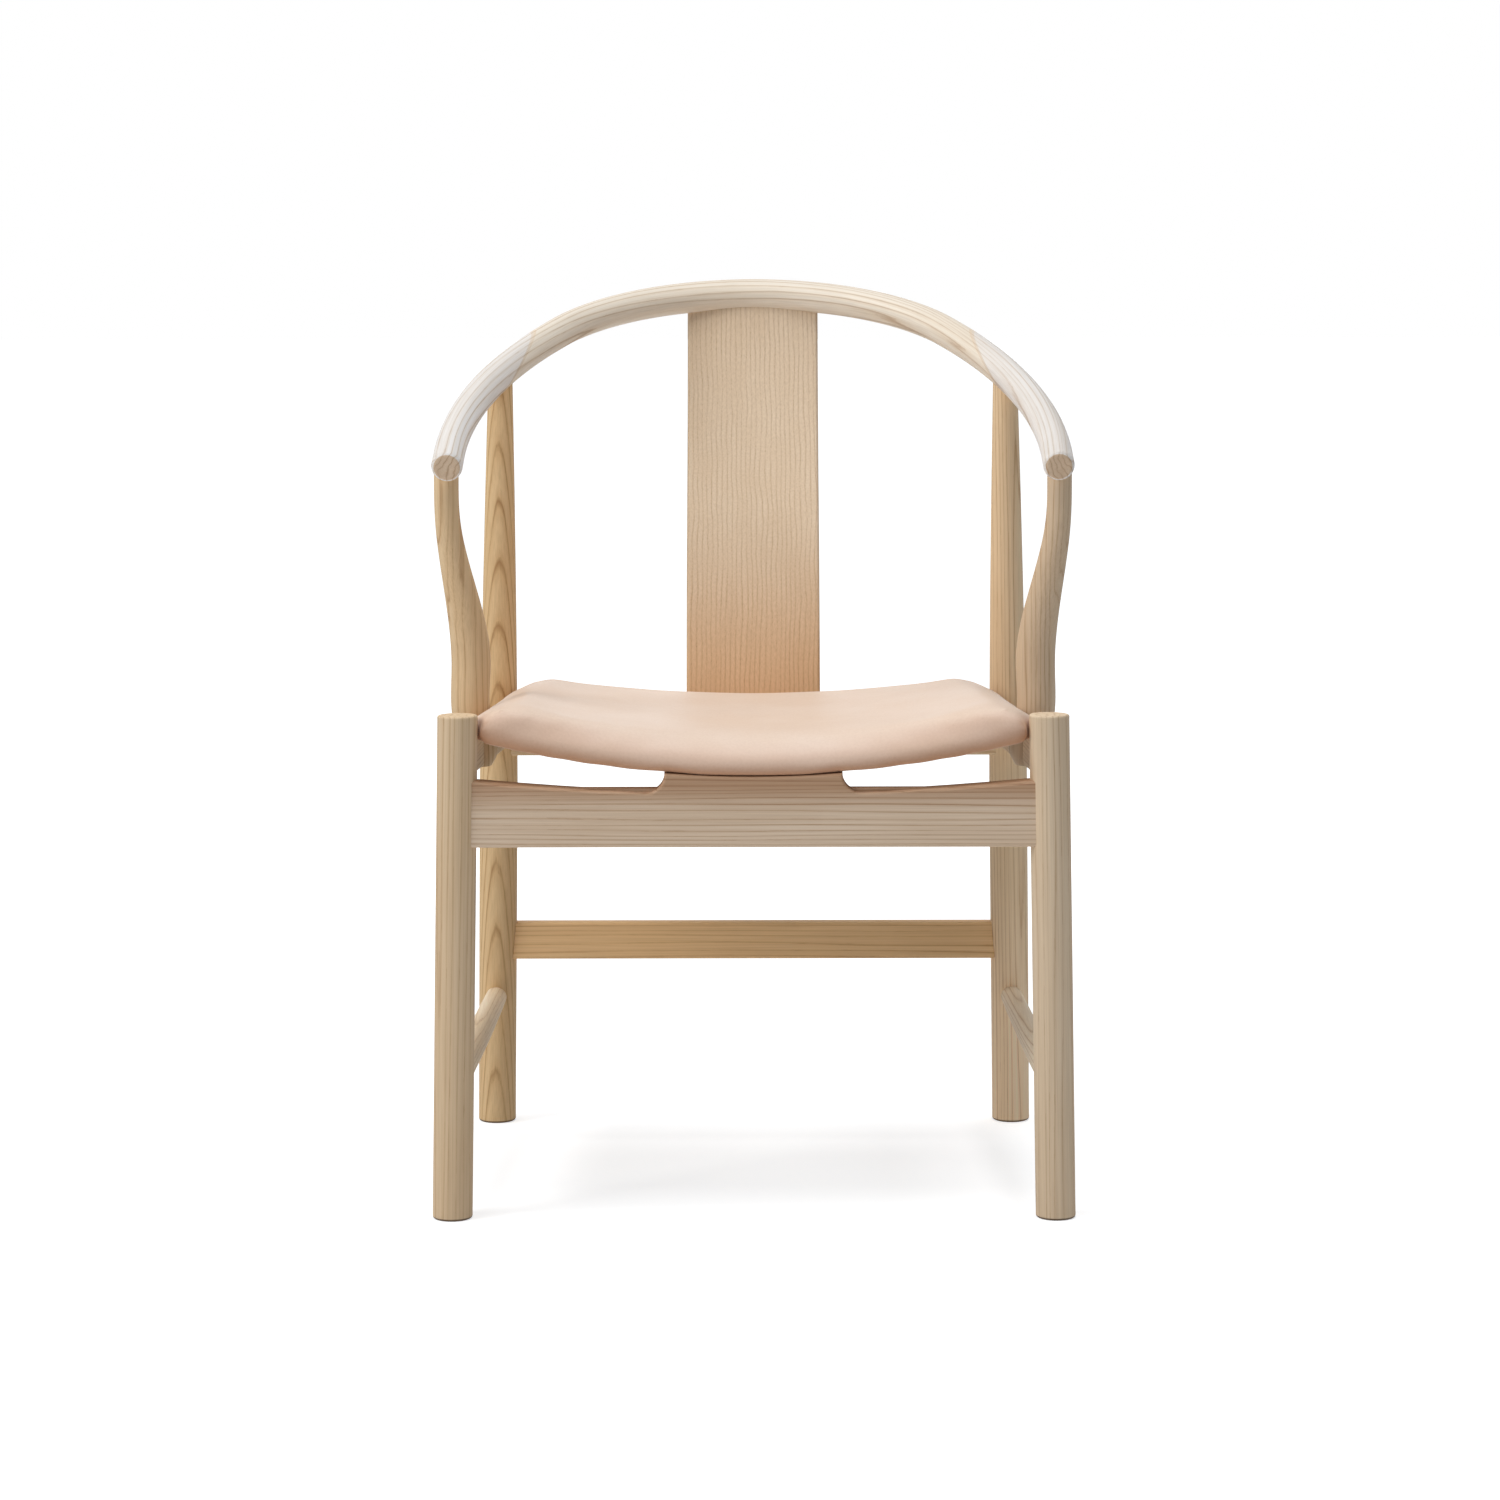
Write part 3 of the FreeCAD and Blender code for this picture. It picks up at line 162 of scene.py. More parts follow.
# Ash: growth rings round a far-off pith, fine fibres along the grain, and rows of open pores
# A noise of the wood is its size and detail, and how much it is drawn out along the grain
ash = {
    "pale": fromScreen(238, 221, 194),
    "mid": fromScreen(229, 208, 177),
    "late": fromScreen(186, 153, 116),
    "lateFrom": 0.80,
    "ringStops": ((0.0, "mid"), (0.20, "pale"), (0.52, "pale"), (0.78, "mid"), (0.92, "late"), (1.0, "mid")),
    "bendNoise": (9, 1.5, 0.12),
    "unevenNoise": (45, 2, 0.03),
    "plainNoise": (70, 1, 0.05),
    "plainStops": (0.36, 0.62),
    "faint": 0.35,
    "fibreNoise": (900, 3, 0.012),
    "fibreStops": (0.30, 0.62),
    "fibreShare": 0.32,
    "fibreDark": (0.62, 0.55, 0.46, 1),
    "fibreHeight": 0.4,
    "poreNoise": (1500, 2, 0.03),
    "poreFrom": 0.60,
    "poreShare": 0.45,
    "poreDepth": 0.8,
    "patchNoise": (14, 2, 0.3),
    "patchStops": (0.35, 0.65),
    "patchShare": 0.8,
    "patchDark": (0.93, 0.90, 0.86, 1),
    "roughness": 0.56,
    "fibreRoughness": 0.12,
    "bump": 0.3,
    "bumpDepth": 0.0003,
}
# A painted contact shadow, a thin dark line under each foot: two heights and a tone
paintedFootShadow = (0.0026, 0.0016, (0.22, 0.19, 0.17))
# A cut is how a member was sawn: the turn of its grain, where the pith lay, the rings' width and its tone
# Each cut also lists its painted light: bands between two heights with a tone, for painted shadow and painted
# bounce light
plainCut = {"turn": (0, 0, 0), "pith": (1.3, 0.2, 0), "ring": 0.0032, "warp": 0.005, "contrast": 0.8,
            "wander": 4.0, "tone": (1, 1, 1), "specular": 0.5, "paintedLight": []}
members = {
    "front_leg_left": {"turn": (0, -1.2, 0), "ring": 0.0062, "contrast": 0.55, "tone": (0.92, 0.84, 0.75),
                       "paintedLight": [paintedFootShadow]},
    "front_leg_right": {"turn": (0, 1.2, 0), "pith": (-1.1, 0.3, 0), "ring": 0.0058, "contrast": 0.55,
                        "tone": (0.97, 0.93, 0.91), "paintedLight": [paintedFootShadow]},
    "rear_leg_left": {"turn": (-12.1, -1.5, 0), "pith": (0.246, -0.07, 0.2), "ring": 0.0046, "warp": 0.005,
                      "wander": 1.0, "contrast": 1.0, "tone": (0.99, 0.83, 0.60), "paintedLight": [paintedFootShadow]},
    # The right rear leg is painted lighter near the floor, as painted bounce light from the floor
    "rear_leg_right": {"turn": (-8.0, 1.5, 0), "pith": (-0.9, 0.15, 0.1), "ring": 0.0042,
                       "tone": (1.08, 0.99, 0.87), "paintedLight": [paintedFootShadow, (0.32, 0.05, (1.26, 1.27, 1.34))]},
    "arm_support_left": {"pith": (1.16, 0.27, 0.4), "ring": 0.0060, "tone": (0.98, 0.86, 0.70)},
    "arm_support_right": {"pith": (-1.18, 0.22, 0.7), "ring": 0.0056, "tone": (0.89, 0.82, 0.77)},
    # The splat's lower part is painted darker and warmer, as painted shade with light reflected from the
    # leather
    "back_splat": {"pith": (1.9, -0.17, 0.3), "ring": 0.0046, "warp": 0.004, "contrast": 0.55, "wander": 1.4,
                   "tone": (0.96, 0.92, 0.92), "paintedLight": [(0.60, 0.40, (0.95, 0.77, 0.60))]},
    # The front rail carries a painted shadow of the seat along its top
    "front_rail": {"turn": (0, 90, 0), "pith": (-0.7, 0.30, 0.5), "ring": 0.0048, "contrast": 1.0,
                   "tone": (0.95, 0.89, 0.90), "paintedLight": [(0.352, 0.380, (0.66, 0.52, 0.42))]},
    "rear_rail": {"turn": (0, 90, 0), "pith": (-0.70, 0.1, 1.5), "tone": (1, 0.9, 0.78)},
    "rear_stretcher": {"turn": (0, 90, 0), "pith": (-0.5, -0.31, 0.9), "ring": 0.0052,
                       "tone": (1.16, 0.92, 0.64)},
    "side_rail_left": {"turn": (90, 0, 0), "pith": (0.33, 0.90, 0.5), "tone": (1.0, 0.9, 0.76)},
    "side_rail_right": {"turn": (90, 0, 0), "pith": (-0.35, 0.93, 1.5), "tone": (1.0, 0.9, 0.80)},
    # The side stretchers' tones lighten them above the wood's colour, as a painted highlight
    "side_stretcher_left": {"turn": (90, 0, 0), "pith": (0.33, 0.52, 2.5), "tone": (1.26, 1.24, 1.22)},
    "side_stretcher_right": {"turn": (90, 0, 0), "pith": (-0.35, 0.56, 3.5), "tone": (1.16, 1.17, 1.20)},
    "seat_block_left": {"turn": (0, 90, 0), "pith": (-0.30, 0.12, 2.1)},
    "seat_block_right": {"turn": (0, 90, 0), "pith": (-0.30, 0.15, 3.1)},
    "bow": {"turn": (0, 1.6, 0), "pith": (0.9, 0.35, 0), "ring": 0.0052, "warp": 0.012, "contrast": 1.0,
            "specular": 1.0},
}


def paintedLightAlong(tree, place, colour, start, finish, shade):
    # painted light and shade: a tone that sets in between two heights
    share = smoothStep(tree, axesOf(tree, place)["Z"], (start, finish))
    toned = mixColour(tree, share, untinted, (*shade, 1))
    return mixColour(tree, 1.0, colour, toned, "MULTIPLY")


def fleckColour(tree, share, stops, dark):
    # from a dark tone to none, between two levels of a noise
    return ramp(tree, share, list(zip(stops, (dark, untinted))))


def makeAsh(name, cut, bend=None, bentTone=None):
    # the grain runs along the pattern's own Z; a bent member brings its own straightened place and tone
    material, tree, shader = newMaterial(name)
    place = objectPlace(tree)
    bar = bend(tree, place) if bend else place
    lay = addNode(tree, "ShaderNodeMapping", vector_type="POINT")
    lay.inputs["Rotation"].default_value = [math.radians(angle) for angle in cut["turn"]]
    lay.inputs["Location"].default_value = cut["pith"]
    tree.links.new(bar, lay.inputs["Vector"])
    grain = lay.outputs["Vector"]

    def grainNoise(setting, roughness=0.5, outlet="Fac"):
        scale, detail, along = setting
        return noise(tree, stretch(tree, grain, 1, along), scale, detail, roughness, outlet)

    bends = grainNoise(ash["bendNoise"], outlet="Color")
    shifted = vectorMaths(tree, "MULTIPLY_ADD", bends, (cut["warp"], cut["warp"], 0), grain)
    reach = vectorMaths(tree, "LENGTH", vectorMaths(tree, "MULTIPLY", shifted, (1, 1, 0)))
    rings = maths(tree, "DIVIDE", reach, cut["ring"])
    uneven = maths(tree, "MULTIPLY", grainNoise(ash["unevenNoise"]), cut["wander"])
    ring = maths(tree, "FRACT", maths(tree, "ADD", rings, uneven))
    ringColour = ramp(tree, ring, [(stop, ash[wood]) for stop, wood in ash["ringStops"]])
    plain = fleckColour(tree, grainNoise(ash["plainNoise"]), ash["plainStops"], (*[ash["faint"]] * 3, 1))
    ringColour = mixColour(tree, maths(tree, "MULTIPLY", plain, cut["contrast"]), ash["mid"], ringColour)
    fibre = grainNoise(ash["fibreNoise"], 0.6)
    fibreColour = fleckColour(tree, fibre, ash["fibreStops"], ash["fibreDark"])
    colour = mixColour(tree, ash["fibreShare"], ringColour, fibreColour, "MULTIPLY")
    late = maths(tree, "GREATER_THAN", ring, ash["lateFrom"])
    opened = maths(tree, "GREATER_THAN", grainNoise(ash["poreNoise"]), ash["poreFrom"])
    pore = maths(tree, "MULTIPLY", late, opened)
    colour = mixColour(tree, maths(tree, "MULTIPLY", pore, ash["poreShare"]), colour, ash["late"])
    patchColour = fleckColour(tree, grainNoise(ash["patchNoise"]), ash["patchStops"], ash["patchDark"])
    colour = mixColour(tree, ash["patchShare"], colour, patchColour, "MULTIPLY")
    tone = bentTone(tree, bar) if bentTone else (*cut["tone"], 1)
    colour = mixColour(tree, 1.0, colour, tone, "MULTIPLY")
    # painted shadow and painted bounce light, band by band
    for start, finish, shade in cut["paintedLight"]:
        colour = paintedLightAlong(tree, place, colour, start, finish, shade)
    tree.links.new(colour, shader.inputs["Base Color"])
    rough = maths(tree, "MULTIPLY", fibre, ash["fibreRoughness"])
    tree.links.new(maths(tree, "ADD", rough, ash["roughness"]), shader.inputs["Roughness"])
    shader.inputs["Specular IOR Level"].default_value = cut["specular"]
    height = maths(tree, "SUBTRACT", maths(tree, "MULTIPLY", fibre, ash["fibreHeight"]),
                   maths(tree, "MULTIPLY", pore, ash["poreDepth"]))
    addBump(tree, shader, height, ash["bump"], ash["bumpDepth"])
    return material


# The bow was bent from a straight bar, so its grain follows the bend
bowLine = {
    "apexPlace": (0, 0.25125, 0.7865),
    "drop": 0.1415,
    "apexRadius": 0.205,
    "sideRadius": 0.676,
    "handOut": 0.2635,
    "handLength": 0.0296,
}


def bowArcs():
    # the apex arc's angle, how far the side arcs' centres lie forwards, and both arcs' length to the hand
    apexRadius, sideRadius = bowLine["apexRadius"], bowLine["sideRadius"]
    turn = math.asin((sideRadius - bowLine["handOut"]) / (sideRadius - apexRadius))
    centreDown = apexRadius + (sideRadius - apexRadius) * math.cos(turn)
    return turn, centreDown, apexRadius * turn + sideRadius * (math.pi / 2 - turn)


def bowGrain(tree, place):
    # across the bar, through it and along it, from the place on the bow
    apexRadius, sideRadius, handOut = bowLine["apexRadius"], bowLine["sideRadius"], bowLine["handOut"]
    turn, centreDown, arcLength = bowArcs()
    flat = addNode(tree, "ShaderNodeMapping", vector_type="TEXTURE")
    flat.inputs["Location"].default_value = bowLine["apexPlace"]
    slope = math.asin(bowLine["drop"] / (centreDown + bowLine["handLength"]))
    flat.inputs["Rotation"].default_value = (slope, 0, 0)
    tree.links.new(place, flat.inputs["Vector"])
    split = axesOf(tree, flat.outputs["Vector"])
    out = maths(tree, "ABSOLUTE", split["X"])
    side = maths(tree, "SIGN", split["X"])

    def aroundCentre(centreOut, centreDown, radius, start):
        # how far outside the arc's line, and how far along the line from the apex
        across = maths(tree, "SUBTRACT", out, centreOut)
        up = maths(tree, "ADD", split["Y"], centreDown)
        squares = [maths(tree, "MULTIPLY", leg, leg) for leg in (across, up)]
        spread = maths(tree, "SQRT", maths(tree, "ADD", *squares))
        angle = maths(tree, "ARCTAN2", across, up)
        along = maths(tree, "ADD", maths(tree, "MULTIPLY", angle, radius), start)
        return maths(tree, "SUBTRACT", spread, radius), along, angle

    apexAcross, apexAlong, apexAngle = aroundCentre(0, apexRadius, apexRadius, 0)
    sideAcross, sideAlong, sideAngle = aroundCentre(
        handOut - sideRadius, centreDown, sideRadius, (apexRadius - sideRadius) * turn)
    handAcross = maths(tree, "SUBTRACT", out, handOut)
    handAlong = maths(tree, "SUBTRACT", arcLength - centreDown, split["Y"])
    onSide = maths(tree, "GREATER_THAN", apexAngle, turn)
    onHand = maths(tree, "GREATER_THAN", sideAngle, math.pi / 2)

    def either(choice, first, second):
        node = addNode(tree, "ShaderNodeMix", data_type="FLOAT")
        feed(tree, (node.inputs[0], node.inputs[2], node.inputs[3]), (choice, first, second))
        return node.outputs[0]

    def choose(apexPart, sidePart, handPart):
        return either(onHand, either(onSide, apexPart, sidePart), handPart)

    bar = addNode(tree, "ShaderNodeCombineXYZ")
    tree.links.new(choose(apexAcross, sideAcross, handAcross), bar.inputs["X"])
    tree.links.new(split["Z"], bar.inputs["Y"])
    tree.links.new(maths(tree, "MULTIPLY", choose(apexAlong, sideAlong, handAlong), side), bar.inputs["Z"])
    return bar.outputs[0]


# The bow is glued up from three lengths with long scarf joints, and each length has its own tone
bowScarf = {
    "middle": 0.317,
    "slant": 2.0,
    "rise": 3.2,
    "glueLine": 0.005,
    "glueShare": 0.5,
    "armTone": (0.97, 1.11, 1.45, 1),
    "backTone": (0.99, 1.07, 1.24, 1),
    "glueTone": (0.80, 0.74, 0.68, 1),
    "endTone": (0.86, 0.76, 0.70, 1),
    "endPlane": 0.0005,
    # painted bounce light: tones by how far the surface faces up
    "paintedBounceFacing": (0.9, 0.2),
    "paintedBounceTones": (0.92, 1.13),
}


def bowTone(tree, bar):
    split = axesOf(tree, bar)
    along = maths(tree, "ABSOLUTE", split["Z"])
    slanted = maths(tree, "ADD", along, maths(tree, "MULTIPLY", split["X"], bowScarf["slant"]))
    slanted = maths(tree, "ADD", slanted, maths(tree, "MULTIPLY", split["Y"], bowScarf["rise"]))
    beyond = maths(tree, "SUBTRACT", slanted, bowScarf["middle"])
    arm = maths(tree, "GREATER_THAN", beyond, 0)
    tone = mixColour(tree, arm, bowScarf["backTone"], bowScarf["armTone"])
    # painted bounce light: a little darker where the bow faces up, lighter where it faces sideways and down
    paintedBounce = smoothStep(tree, facing(tree)["Z"], bowScarf["paintedBounceFacing"], bowScarf["paintedBounceTones"])
    tone = mixColour(tree, 1.0, tone, paintedBounce, "MULTIPLY")
    nearGlue = maths(tree, "LESS_THAN", maths(tree, "ABSOLUTE", beyond), bowScarf["glueLine"])
    tone = mixColour(tree, maths(tree, "MULTIPLY", nearGlue, bowScarf["glueShare"]), tone, bowScarf["glueTone"])
    length = bowArcs()[2] + bowLine["handLength"]
    onEnd = maths(tree, "GREATER_THAN", along, length - bowScarf["endPlane"])
    return mixColour(tree, onEnd, tone, bowScarf["endTone"])


def dress(node, material):
    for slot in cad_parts[node].material_slots:
        slot.material = material


for node, cut in members.items():
    bent = (bowGrain, bowTone) if node == "bow" else ()
    dress(node, makeAsh("ash_" + node, {**plainCut, **cut}, *bent))
print("wood members dressed")


# Leather: natural and pale, with cloudy tone, pores and fine wrinkles
leather = {
    "base": fromScreen(236, 213, 194),
    "warm": fromScreen(228, 200, 176),
    "cloudNoise": (7, 4, 0.55),
    "cloudStops": (0.35, 0.70),
    "fleckNoise": (420, 3, 0.6),
    "fleckStops": (0.30, 0.62),
    "fleckDark": (0.86, 0.82, 0.78, 1),
    "fleckShare": 0.35,
    # painted shade: tones for faces turned forwards and down, and for the leather beside the posts
    "paintedFrontShade": [(0.35, untinted), (0.72, (0.87, 0.79, 0.75, 1))],
    "turned": [(0.30, (0.84, 0.66, 0.52, 1)), (0.70, untinted)],
    "paintedPostShade": (0.66, 0.48, 0.36, 1),
    "paintedPostShadePower": 1.5,
    "poreSize": 1100,
    "poreHeight": 0.25,
    "wrinkleNoise": (260, 4, 0.6),
    "wrinkleRoughness": 0.16,
    "bump": 0.25,
    "bumpDepth": 0.0004,
    "roughness": 0.38,
    "specular": 0.4,
    "sheen": 0.12,
    "sheenRoughness": 0.4,
}


def makeLeather():
    material, tree, shader = newMaterial("natural_leather")
    place = objectPlace(tree)
    cloud = noise(tree, place, *leather["cloudNoise"])
    colour = ramp(tree, cloud, list(zip(leather["cloudStops"], (leather["base"], leather["warm"]))))
    fleck = noise(tree, place, *leather["fleckNoise"])
    flecks = fleckColour(tree, fleck, leather["fleckStops"], leather["fleckDark"])
    colour = mixColour(tree, leather["fleckShare"], colour, flecks, "MULTIPLY")
    # painted shade: darker on faces turned forwards and down, on the front roll and under its edge, and beside
    # the posts
    side = facing(tree)
    paintedFrontShade = maths(tree, "MULTIPLY", side["Y"], -1)
    upward = maths(tree, "ADD", maths(tree, "MULTIPLY", side["Z"], 0.5), 0.5)
    paintedPostShade = addNode(tree, "ShaderNodeAttribute", attribute_name="paintedPostShade").outputs["Fac"]
    paintedPostShadeShare = maths(tree, "POWER", paintedPostShade, leather["paintedPostShadePower"])
    for shade in (ramp(tree, paintedFrontShade, leather["paintedFrontShade"]), ramp(tree, upward, leather["turned"]),
                  mixColour(tree, paintedPostShadeShare, untinted, leather["paintedPostShade"])):
        colour = mixColour(tree, 1.0, colour, shade, "MULTIPLY")
    tree.links.new(colour, shader.inputs["Base Color"])
    pores = addNode(tree, "ShaderNodeTexVoronoi", feature="DISTANCE_TO_EDGE")
    pores.inputs["Scale"].default_value = leather["poreSize"]
    tree.links.new(place, pores.inputs["Vector"])
    wrinkles = noise(tree, place, *leather["wrinkleNoise"])
    pore = maths(tree, "MINIMUM", pores.outputs["Distance"], leather["poreHeight"])
    rough = maths(tree, "MULTIPLY", wrinkles, leather["wrinkleRoughness"])
    tree.links.new(maths(tree, "ADD", rough, leather["roughness"]), shader.inputs["Roughness"])
    shader.inputs["Specular IOR Level"].default_value = leather["specular"]
    shader.inputs["Sheen Weight"].default_value = leather["sheen"]
    shader.inputs["Sheen Roughness"].default_value = leather["sheenRoughness"]
    addBump(tree, shader, maths(tree, "ADD", pore, wrinkles), leather["bump"], leather["bumpDepth"])
    return material


# Lining: plain woven cloth, seen from below only
lining = {
    "warpThread": fromScreen(44, 42, 41),
    "weftThread": fromScreen(66, 63, 60),
    "stops": (0.2, 0.8),
    "threadPitch": 0.0009,
    "weaveShare": 0.35,
    "wearNoise": (60, 3),
    "roughness": 0.92,
    "bump": 0.5,
    "bumpDepth": 0.0003,
}


def makeLining():
    material, tree, shader = newMaterial("lining_cloth")
    place = objectPlace(tree)
    split = axesOf(tree, place)
    turns = 2 * math.pi / lining["threadPitch"]
    threads = [maths(tree, "SINE", maths(tree, "MULTIPLY", split[axis], turns)) for axis in "XY"]
    weave = maths(tree, "MULTIPLY", *threads)
    worn = noise(tree, place, *lining["wearNoise"])
    shade = maths(tree, "ADD", maths(tree, "MULTIPLY", weave, lining["weaveShare"]), worn)
    colour = ramp(tree, shade, list(zip(lining["stops"], (lining["warpThread"], lining["weftThread"]))))
    tree.links.new(colour, shader.inputs["Base Color"])
    shader.inputs["Roughness"].default_value = lining["roughness"]
    addBump(tree, shader, weave, lining["bump"], lining["bumpDepth"])
    return material


# Screws: zinc-plated steel
screwSteel = {
    "bright": fromScreen(196, 197, 194),
    "dull": fromScreen(150, 151, 149),
    "stops": (0.3, 0.7),
    "spangleNoise": (500, 3, 0.6),
    "spangleRoughness": 0.25,
    "roughness": 0.22,
}


def makeScrewSteel():
    material, tree, shader = newMaterial("zinc_steel")
    spangle = noise(tree, objectPlace(tree), *screwSteel["spangleNoise"])
    colour = ramp(tree, spangle, list(zip(screwSteel["stops"], (screwSteel["dull"], screwSteel["bright"]))))
    tree.links.new(colour, shader.inputs["Base Color"])
    shader.inputs["Metallic"].default_value = 1
    rough = maths(tree, "MULTIPLY", spangle, screwSteel["spangleRoughness"])
    tree.links.new(maths(tree, "ADD", rough, screwSteel["roughness"]), shader.inputs["Roughness"])
    return material


dress("seat_lining", makeLining())
dress("seat_screws", makeScrewSteel())


# Seat pad: foam on a board in leather, rounded in front, turned under, and swollen by a cloth simulation
seatPad = {
    "voxel": 0.005,
    "shrink": 0.0015,
    "frontFull": 0.009,
    "frontHang": 0.0048,
    "frontReach": 0.014,
    "underRound": 0.024,
    "underPull": 0.013,
    "pressure": 3.5,
    "frames": 20,
    "mostMove": 0.006,
    "mass": 0.3,
    "stretching": 30,
    "shearing": 20,
    "bending": 4,
    "underside": -0.55,
    "postClear": 0.0004,
    "postReach": 0.006,
    "smoothing": 6,
    "settling": 4,
    "ridgeOut": 0.212,
    "ridgeSpread": 0.038,
    "ridgeLift": 0.0038,
    "edgeDepth": 0.03,
    "edgeSmoothing": 3,
    # how far from a post the painted shade beside it reaches
    "paintedPostShadeReach": 0.014,
    "saddleSpread": 0.19,
    "saddleBand": 0.01,
    "windowInset": 0.034,
    "windowRise": 0.0018,
}
# The right-hand posts beside the pad, as the part's sizes place them: two points of the axis and the radius
seatPosts = {
    "front": ((0.261, -0.24875, 0), (0.252, -0.24875, 0.438), 0.01725),
    "support": ((0.2483, -0.13675, 0.38), (0.2483, -0.13675, 0.47), 0.01725),
    "rear": ((0.2468, 0.14125, 0), (0.2306, 0.0380, 0.7179), 0.0179),
}


def mergedCopy(nodes):
    # one mesh from copies of the solids, with their loose triangles merged
    joined = bmesh.new()
    for node in nodes:
        joined.from_mesh(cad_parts[node].data)
    bmesh.ops.remove_doubles(joined, verts=joined.verts, dist=0.00001)
    return joined


def applyAll(piece):
    # the modifiers' result becomes the piece's own mesh
    graph = bpy.context.evaluated_depsgraph_get()
    finished = bpy.data.meshes.new_from_object(piece.evaluated_get(graph))
    piece.modifiers.clear()
    piece.data = finished


def addPiece(name, mesh, material):
    piece = bpy.data.objects.new(name, mesh)
    scene.collection.objects.link(piece)
    piece.data.materials.clear()
    piece.data.materials.append(material)
    return piece


def postLines():
    posts = []
    for side in (-1, 1):
        for low, high, radius in seatPosts.values():
            posts.append((Vector((side * low[0], *low[1:])), Vector((side * high[0], *high[1:])), radius))
    return posts


def fromAxis(point, post):
    # the nearest point of a post's axis, and the way from it to the point
    low, high, radius = post
    along = (high - low).normalized()
    foot = low + along * (point - low).dot(along)
    return foot, point - foot


def clearOfPosts(point, posts, clearance):
    for post in posts:
        foot, away = fromAxis(point, post)
        if 0 < away.length < post[2] + clearance:
            point = foot + away.normalized() * (post[2] + clearance)
    return point


def nearPosts(point, posts, reach):
    return any(fromAxis(point, post)[1].length < post[2] + reach for post in posts)


def soften(shaped, chosen, times):
    points = [vertex for vertex in shaped.verts if chosen(vertex)]
    for turn in range(times):
        bmesh.ops.smooth_vert(shaped, verts=points, factor=0.5, use_axis_x=True, use_axis_y=True,
                              use_axis_z=True)


def notUnder(vertex):
    return vertex.normal.z > seatPad["underside"]


def reshape(piece, work, *given):
    # work on the piece's own mesh
    shaped = bmesh.new()
    shaped.from_mesh(piece.data)
    work(shaped, *given)
    shaped.to_mesh(piece.data)
    shaped.free()


def inWindow(point, low, high):
    # where the lining closes the leather's turned-under edge
    inset = seatPad["windowInset"]
    return low[0] + inset < point.x < high[0] - inset and low[1] + inset < point.y < high[1] - inset


def swell(piece, posts):
    # pressure fills the pad; its underside and the leather drawn around the posts are held
    rest = [vertex.co.copy() for vertex in piece.data.vertices]
    held = piece.vertex_groups.new(name="held")
    for vertex in piece.data.vertices:
        if vertex.normal.z < seatPad["underside"] or nearPosts(vertex.co, posts, seatPad["postReach"]):
            held.add([vertex.index], 1.0, "REPLACE")
    cloth = piece.modifiers.new("swell", "CLOTH")
    cloth.settings.quality = 6
    cloth.settings.mass = seatPad["mass"]
    cloth.settings.tension_stiffness = seatPad["stretching"]
    cloth.settings.compression_stiffness = seatPad["stretching"]
    cloth.settings.shear_stiffness = seatPad["shearing"]
    cloth.settings.bending_stiffness = seatPad["bending"]
    cloth.settings.use_pressure = True
    cloth.settings.uniform_pressure_force = seatPad["pressure"]
    cloth.settings.vertex_group_mass = held.name
    cloth.settings.effector_weights.gravity = 0
    cloth.collision_settings.use_collision = False
    for step in range(1, seatPad["frames"] + 1):
        scene.frame_set(step)
    applyAll(piece)
    scene.frame_set(1)
    for vertex, start in zip(piece.data.vertices, rest):
        moved = vertex.co - start
        if moved.length > seatPad["mostMove"]:
            vertex.co = start + moved.normalized() * seatPad["mostMove"]


def lowestAcross(shaped):
    # the height of the pad's lower edge as a curve over its width, from its front edge's points
    front = min(vertex.co.y for vertex in shaped.verts)
    edge = [vertex.co for vertex in shaped.verts if vertex.co.y < front + seatPad["frontReach"]]
    spread, band = seatPad["saddleSpread"], seatPad["saddleBand"]
    middle = min(point.z for point in edge if abs(point.x) < 2 * band)
    outer = min(point.z for point in edge if spread - band < abs(point.x) < spread + band)
    rise = (outer - middle) / spread ** 2
    return lambda across: middle + rise * across * across


def paintPostShade(piece, posts):
    # how close the leather lies to a post, kept as an attribute for the painted shade beside the posts in its
    # material
    paintedPostShade = piece.data.attributes.new("paintedPostShade", "FLOAT", "POINT")
    for vertex in piece.data.vertices:
        gap = min(fromAxis(vertex.co, post)[1].length - post[2] for post in posts)
        paintedPostShade.data[vertex.index].value = 1 - max(0, min(1, gap / seatPad["paintedPostShadeReach"]))


def roundFront(shaped, low, high):
    # smooth the steps of the voxels, then fill the front edge, draw its leather under and raise the side ridges
    soften(shaped, notUnder, seatPad["smoothing"])
    shaped.normal_update()
    reach = seatPad["frontReach"]
    saddle = lowestAcross(shaped)
    for vertex in shaped.verts:
        inFront = max(0, min(1, (low[1] + reach - vertex.co.y) / reach))
        crown = max(0, 1 - (vertex.co.x / high[0]) ** 2)
        aboveEdge = vertex.co.z - saddle(vertex.co.x)
        turnedUnder = max(0, 1 - aboveEdge / seatPad["underRound"]) ** 2
        vertex.co -= vertex.normal * seatPad["shrink"] * (1 - max(0, -vertex.normal.z))
        vertex.co.y += (seatPad["underPull"] * turnedUnder - seatPad["frontFull"] * crown) * inFront
        vertex.co.z -= seatPad["frontHang"] * inFront * inFront
        ridge = math.exp(-((abs(vertex.co.x) - seatPad["ridgeOut"]) / seatPad["ridgeSpread"]) ** 2)
        vertex.co.z += seatPad["ridgeLift"] * ridge * max(0, vertex.normal.z)


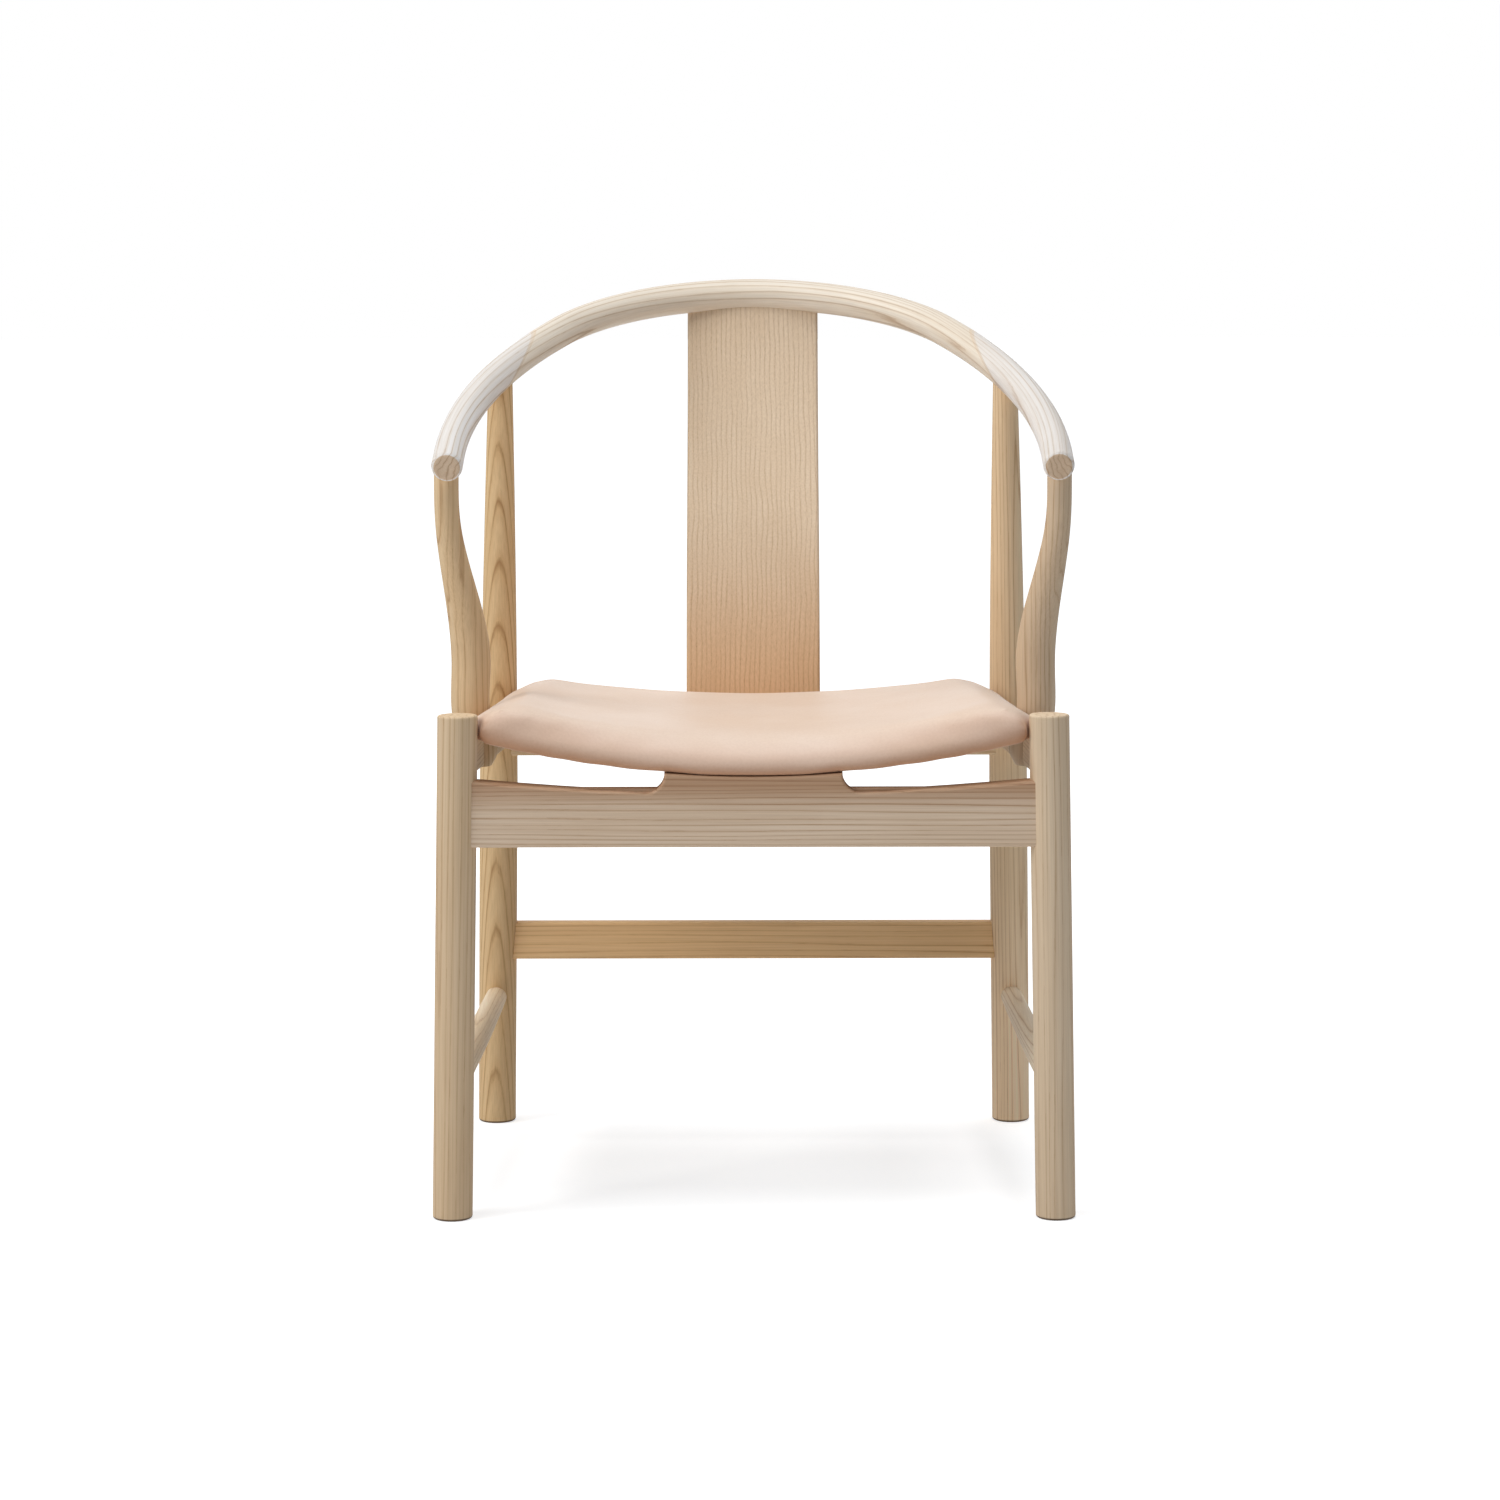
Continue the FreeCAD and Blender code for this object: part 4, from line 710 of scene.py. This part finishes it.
def settle(shaped, low, high, posts):
    # even out the swollen leather, lay its underside on the lining and keep it clear of the posts
    shaped.normal_update()
    soften(shaped, notUnder, seatPad["settling"])
    front = min(vertex.co.y for vertex in shaped.verts)
    soften(shaped, lambda vertex: vertex.co.y < front + seatPad["edgeDepth"], seatPad["edgeSmoothing"])
    for vertex in shaped.verts:
        if not notUnder(vertex) and inWindow(vertex.co, low, high):
            vertex.co.z += seatPad["windowRise"]
        vertex.co = clearOfPosts(vertex.co, posts, seatPad["postClear"])
    bmesh.ops.recalc_face_normals(shaped, faces=shaped.faces)


def makePad():
    posts = postLines()
    low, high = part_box("seat_leather")
    joined = mergedCopy(["seat_leather", "seat_foam", "seat_board", "seat_lining"])
    mesh = bpy.data.meshes.new("seat_pad")
    joined.to_mesh(mesh)
    joined.free()
    piece = addPiece("seat_pad", mesh, makeLeather())
    remesh = piece.modifiers.new("voxels", "REMESH")
    remesh.mode = "VOXEL"
    remesh.voxel_size = seatPad["voxel"]
    applyAll(piece)
    reshape(piece, roundFront, low, high)
    print("pad before simulation:", len(piece.data.vertices), "points")
    swell(piece, posts)
    reshape(piece, settle, low, high, posts)
    finer = piece.modifiers.new("finer", "SUBSURF")
    finer.levels = 1
    finer.render_levels = 1
    applyAll(piece)
    paintPostShade(piece, posts)
    piece.data.shade_smooth()
    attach(piece, "root")
    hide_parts("seat_leather", "seat_foam", "seat_board")
    return piece


pad = makePad()
print("seat pad ready:", len(pad.data.polygons), "faces")

# Studio: pale floor, soft key light from the upper left, even sky

studio = {
    "floorSize": 30,
    "floorColour": (0.80, 0.80, 0.80, 1),
    "floorGlow": 0.64,
    "glowFrom": 0.9,
    "glowTo": 2.0,
    "skyLight": 0.155,
    "skyTint": (0.82, 0.95, 1.12, 1),
    "bounceGlow": 0.12,
}
lamps = {
    "key": {"place": (-3.0, -1.5, 2.5), "size": 1.8, "power": 62},
    "top": {"place": (0.0, -0.15, 3.4), "size": 2.6, "power": 70},
    "front": {"place": (0.0, -4.2, 0.5), "size": 2.0, "power": 7},
}
aim = Vector((0, 0, 0.45))
camera = {
    "place": (0, -3.65156, 0.841483),
    "pitch": 7.268,
    "roll": 0.1,
    "lens": 96.54,
    "sensor": 36,
    "shift": -0.00167,
}

# The floor glows to white round the chair for the camera and keeps the chair's shadow; to all other rays it
# glows faintly as painted bounce light
floorMesh = bpy.data.meshes.new("floor")
grid = bmesh.new()
bmesh.ops.create_grid(grid, x_segments=1, y_segments=1, size=studio["floorSize"])
grid.to_mesh(floorMesh)
grid.free()
floor = bpy.data.objects.new("floor", floorMesh)
scene.collection.objects.link(floor)
floorMaterial, tree, shader = newMaterial("studio_floor")
shader.inputs["Base Color"].default_value = studio["floorColour"]
shader.inputs["Roughness"].default_value = 1
shader.inputs["Specular IOR Level"].default_value = 0
shader.inputs["Emission Color"].default_value = untinted
path = addNode(tree, "ShaderNodeLightPath")
distance = vectorMaths(tree, "LENGTH", objectPlace(tree))
spread = smoothStep(tree, distance, (studio["glowFrom"], studio["glowTo"]), (studio["floorGlow"], 1))
glow = maths(tree, "MULTIPLY", path.outputs["Is Camera Ray"], spread)
tree.links.new(maths(tree, "MAXIMUM", glow, studio["bounceGlow"]), shader.inputs["Emission Strength"])
floorMesh.materials.append(floorMaterial)

world = bpy.data.worlds.new("studio_sky")
scene.world = world
world.use_nodes = True
sky = world.node_tree
background = sky.nodes["Background"]
path = addNode(sky, "ShaderNodeLightPath")
seen = maths(sky, "MAXIMUM", path.outputs["Is Camera Ray"], path.outputs["Is Glossy Ray"])
sky.links.new(mixColour(sky, seen, studio["skyTint"], untinted), background.inputs["Color"])
strength = maths(sky, "MAXIMUM", seen, studio["skyLight"])
sky.links.new(strength, background.inputs["Strength"])

for name, lamp in lamps.items():
    light = bpy.data.lights.new(name, "AREA")
    light.shape = "SQUARE"
    light.size = lamp["size"]
    light.energy = lamp["power"]
    holder = bpy.data.objects.new(name, light)
    scene.collection.objects.link(holder)
    holder.location = lamp["place"]
    holder.rotation_euler = (aim - holder.location).to_track_quat("-Z", "Y").to_euler()

lens = bpy.data.cameras.new("camera")
lens.lens = camera["lens"]
lens.sensor_width = camera["sensor"]
lens.shift_x = camera["shift"]
viewer = bpy.data.objects.new("camera", lens)
viewer.location = camera["place"]
viewer.rotation_euler = (math.radians(90 - camera["pitch"]), math.radians(camera["roll"]), 0)
scene.collection.objects.link(viewer)
scene.camera = viewer
scene.view_settings.view_transform = "Standard"
print("studio ready")
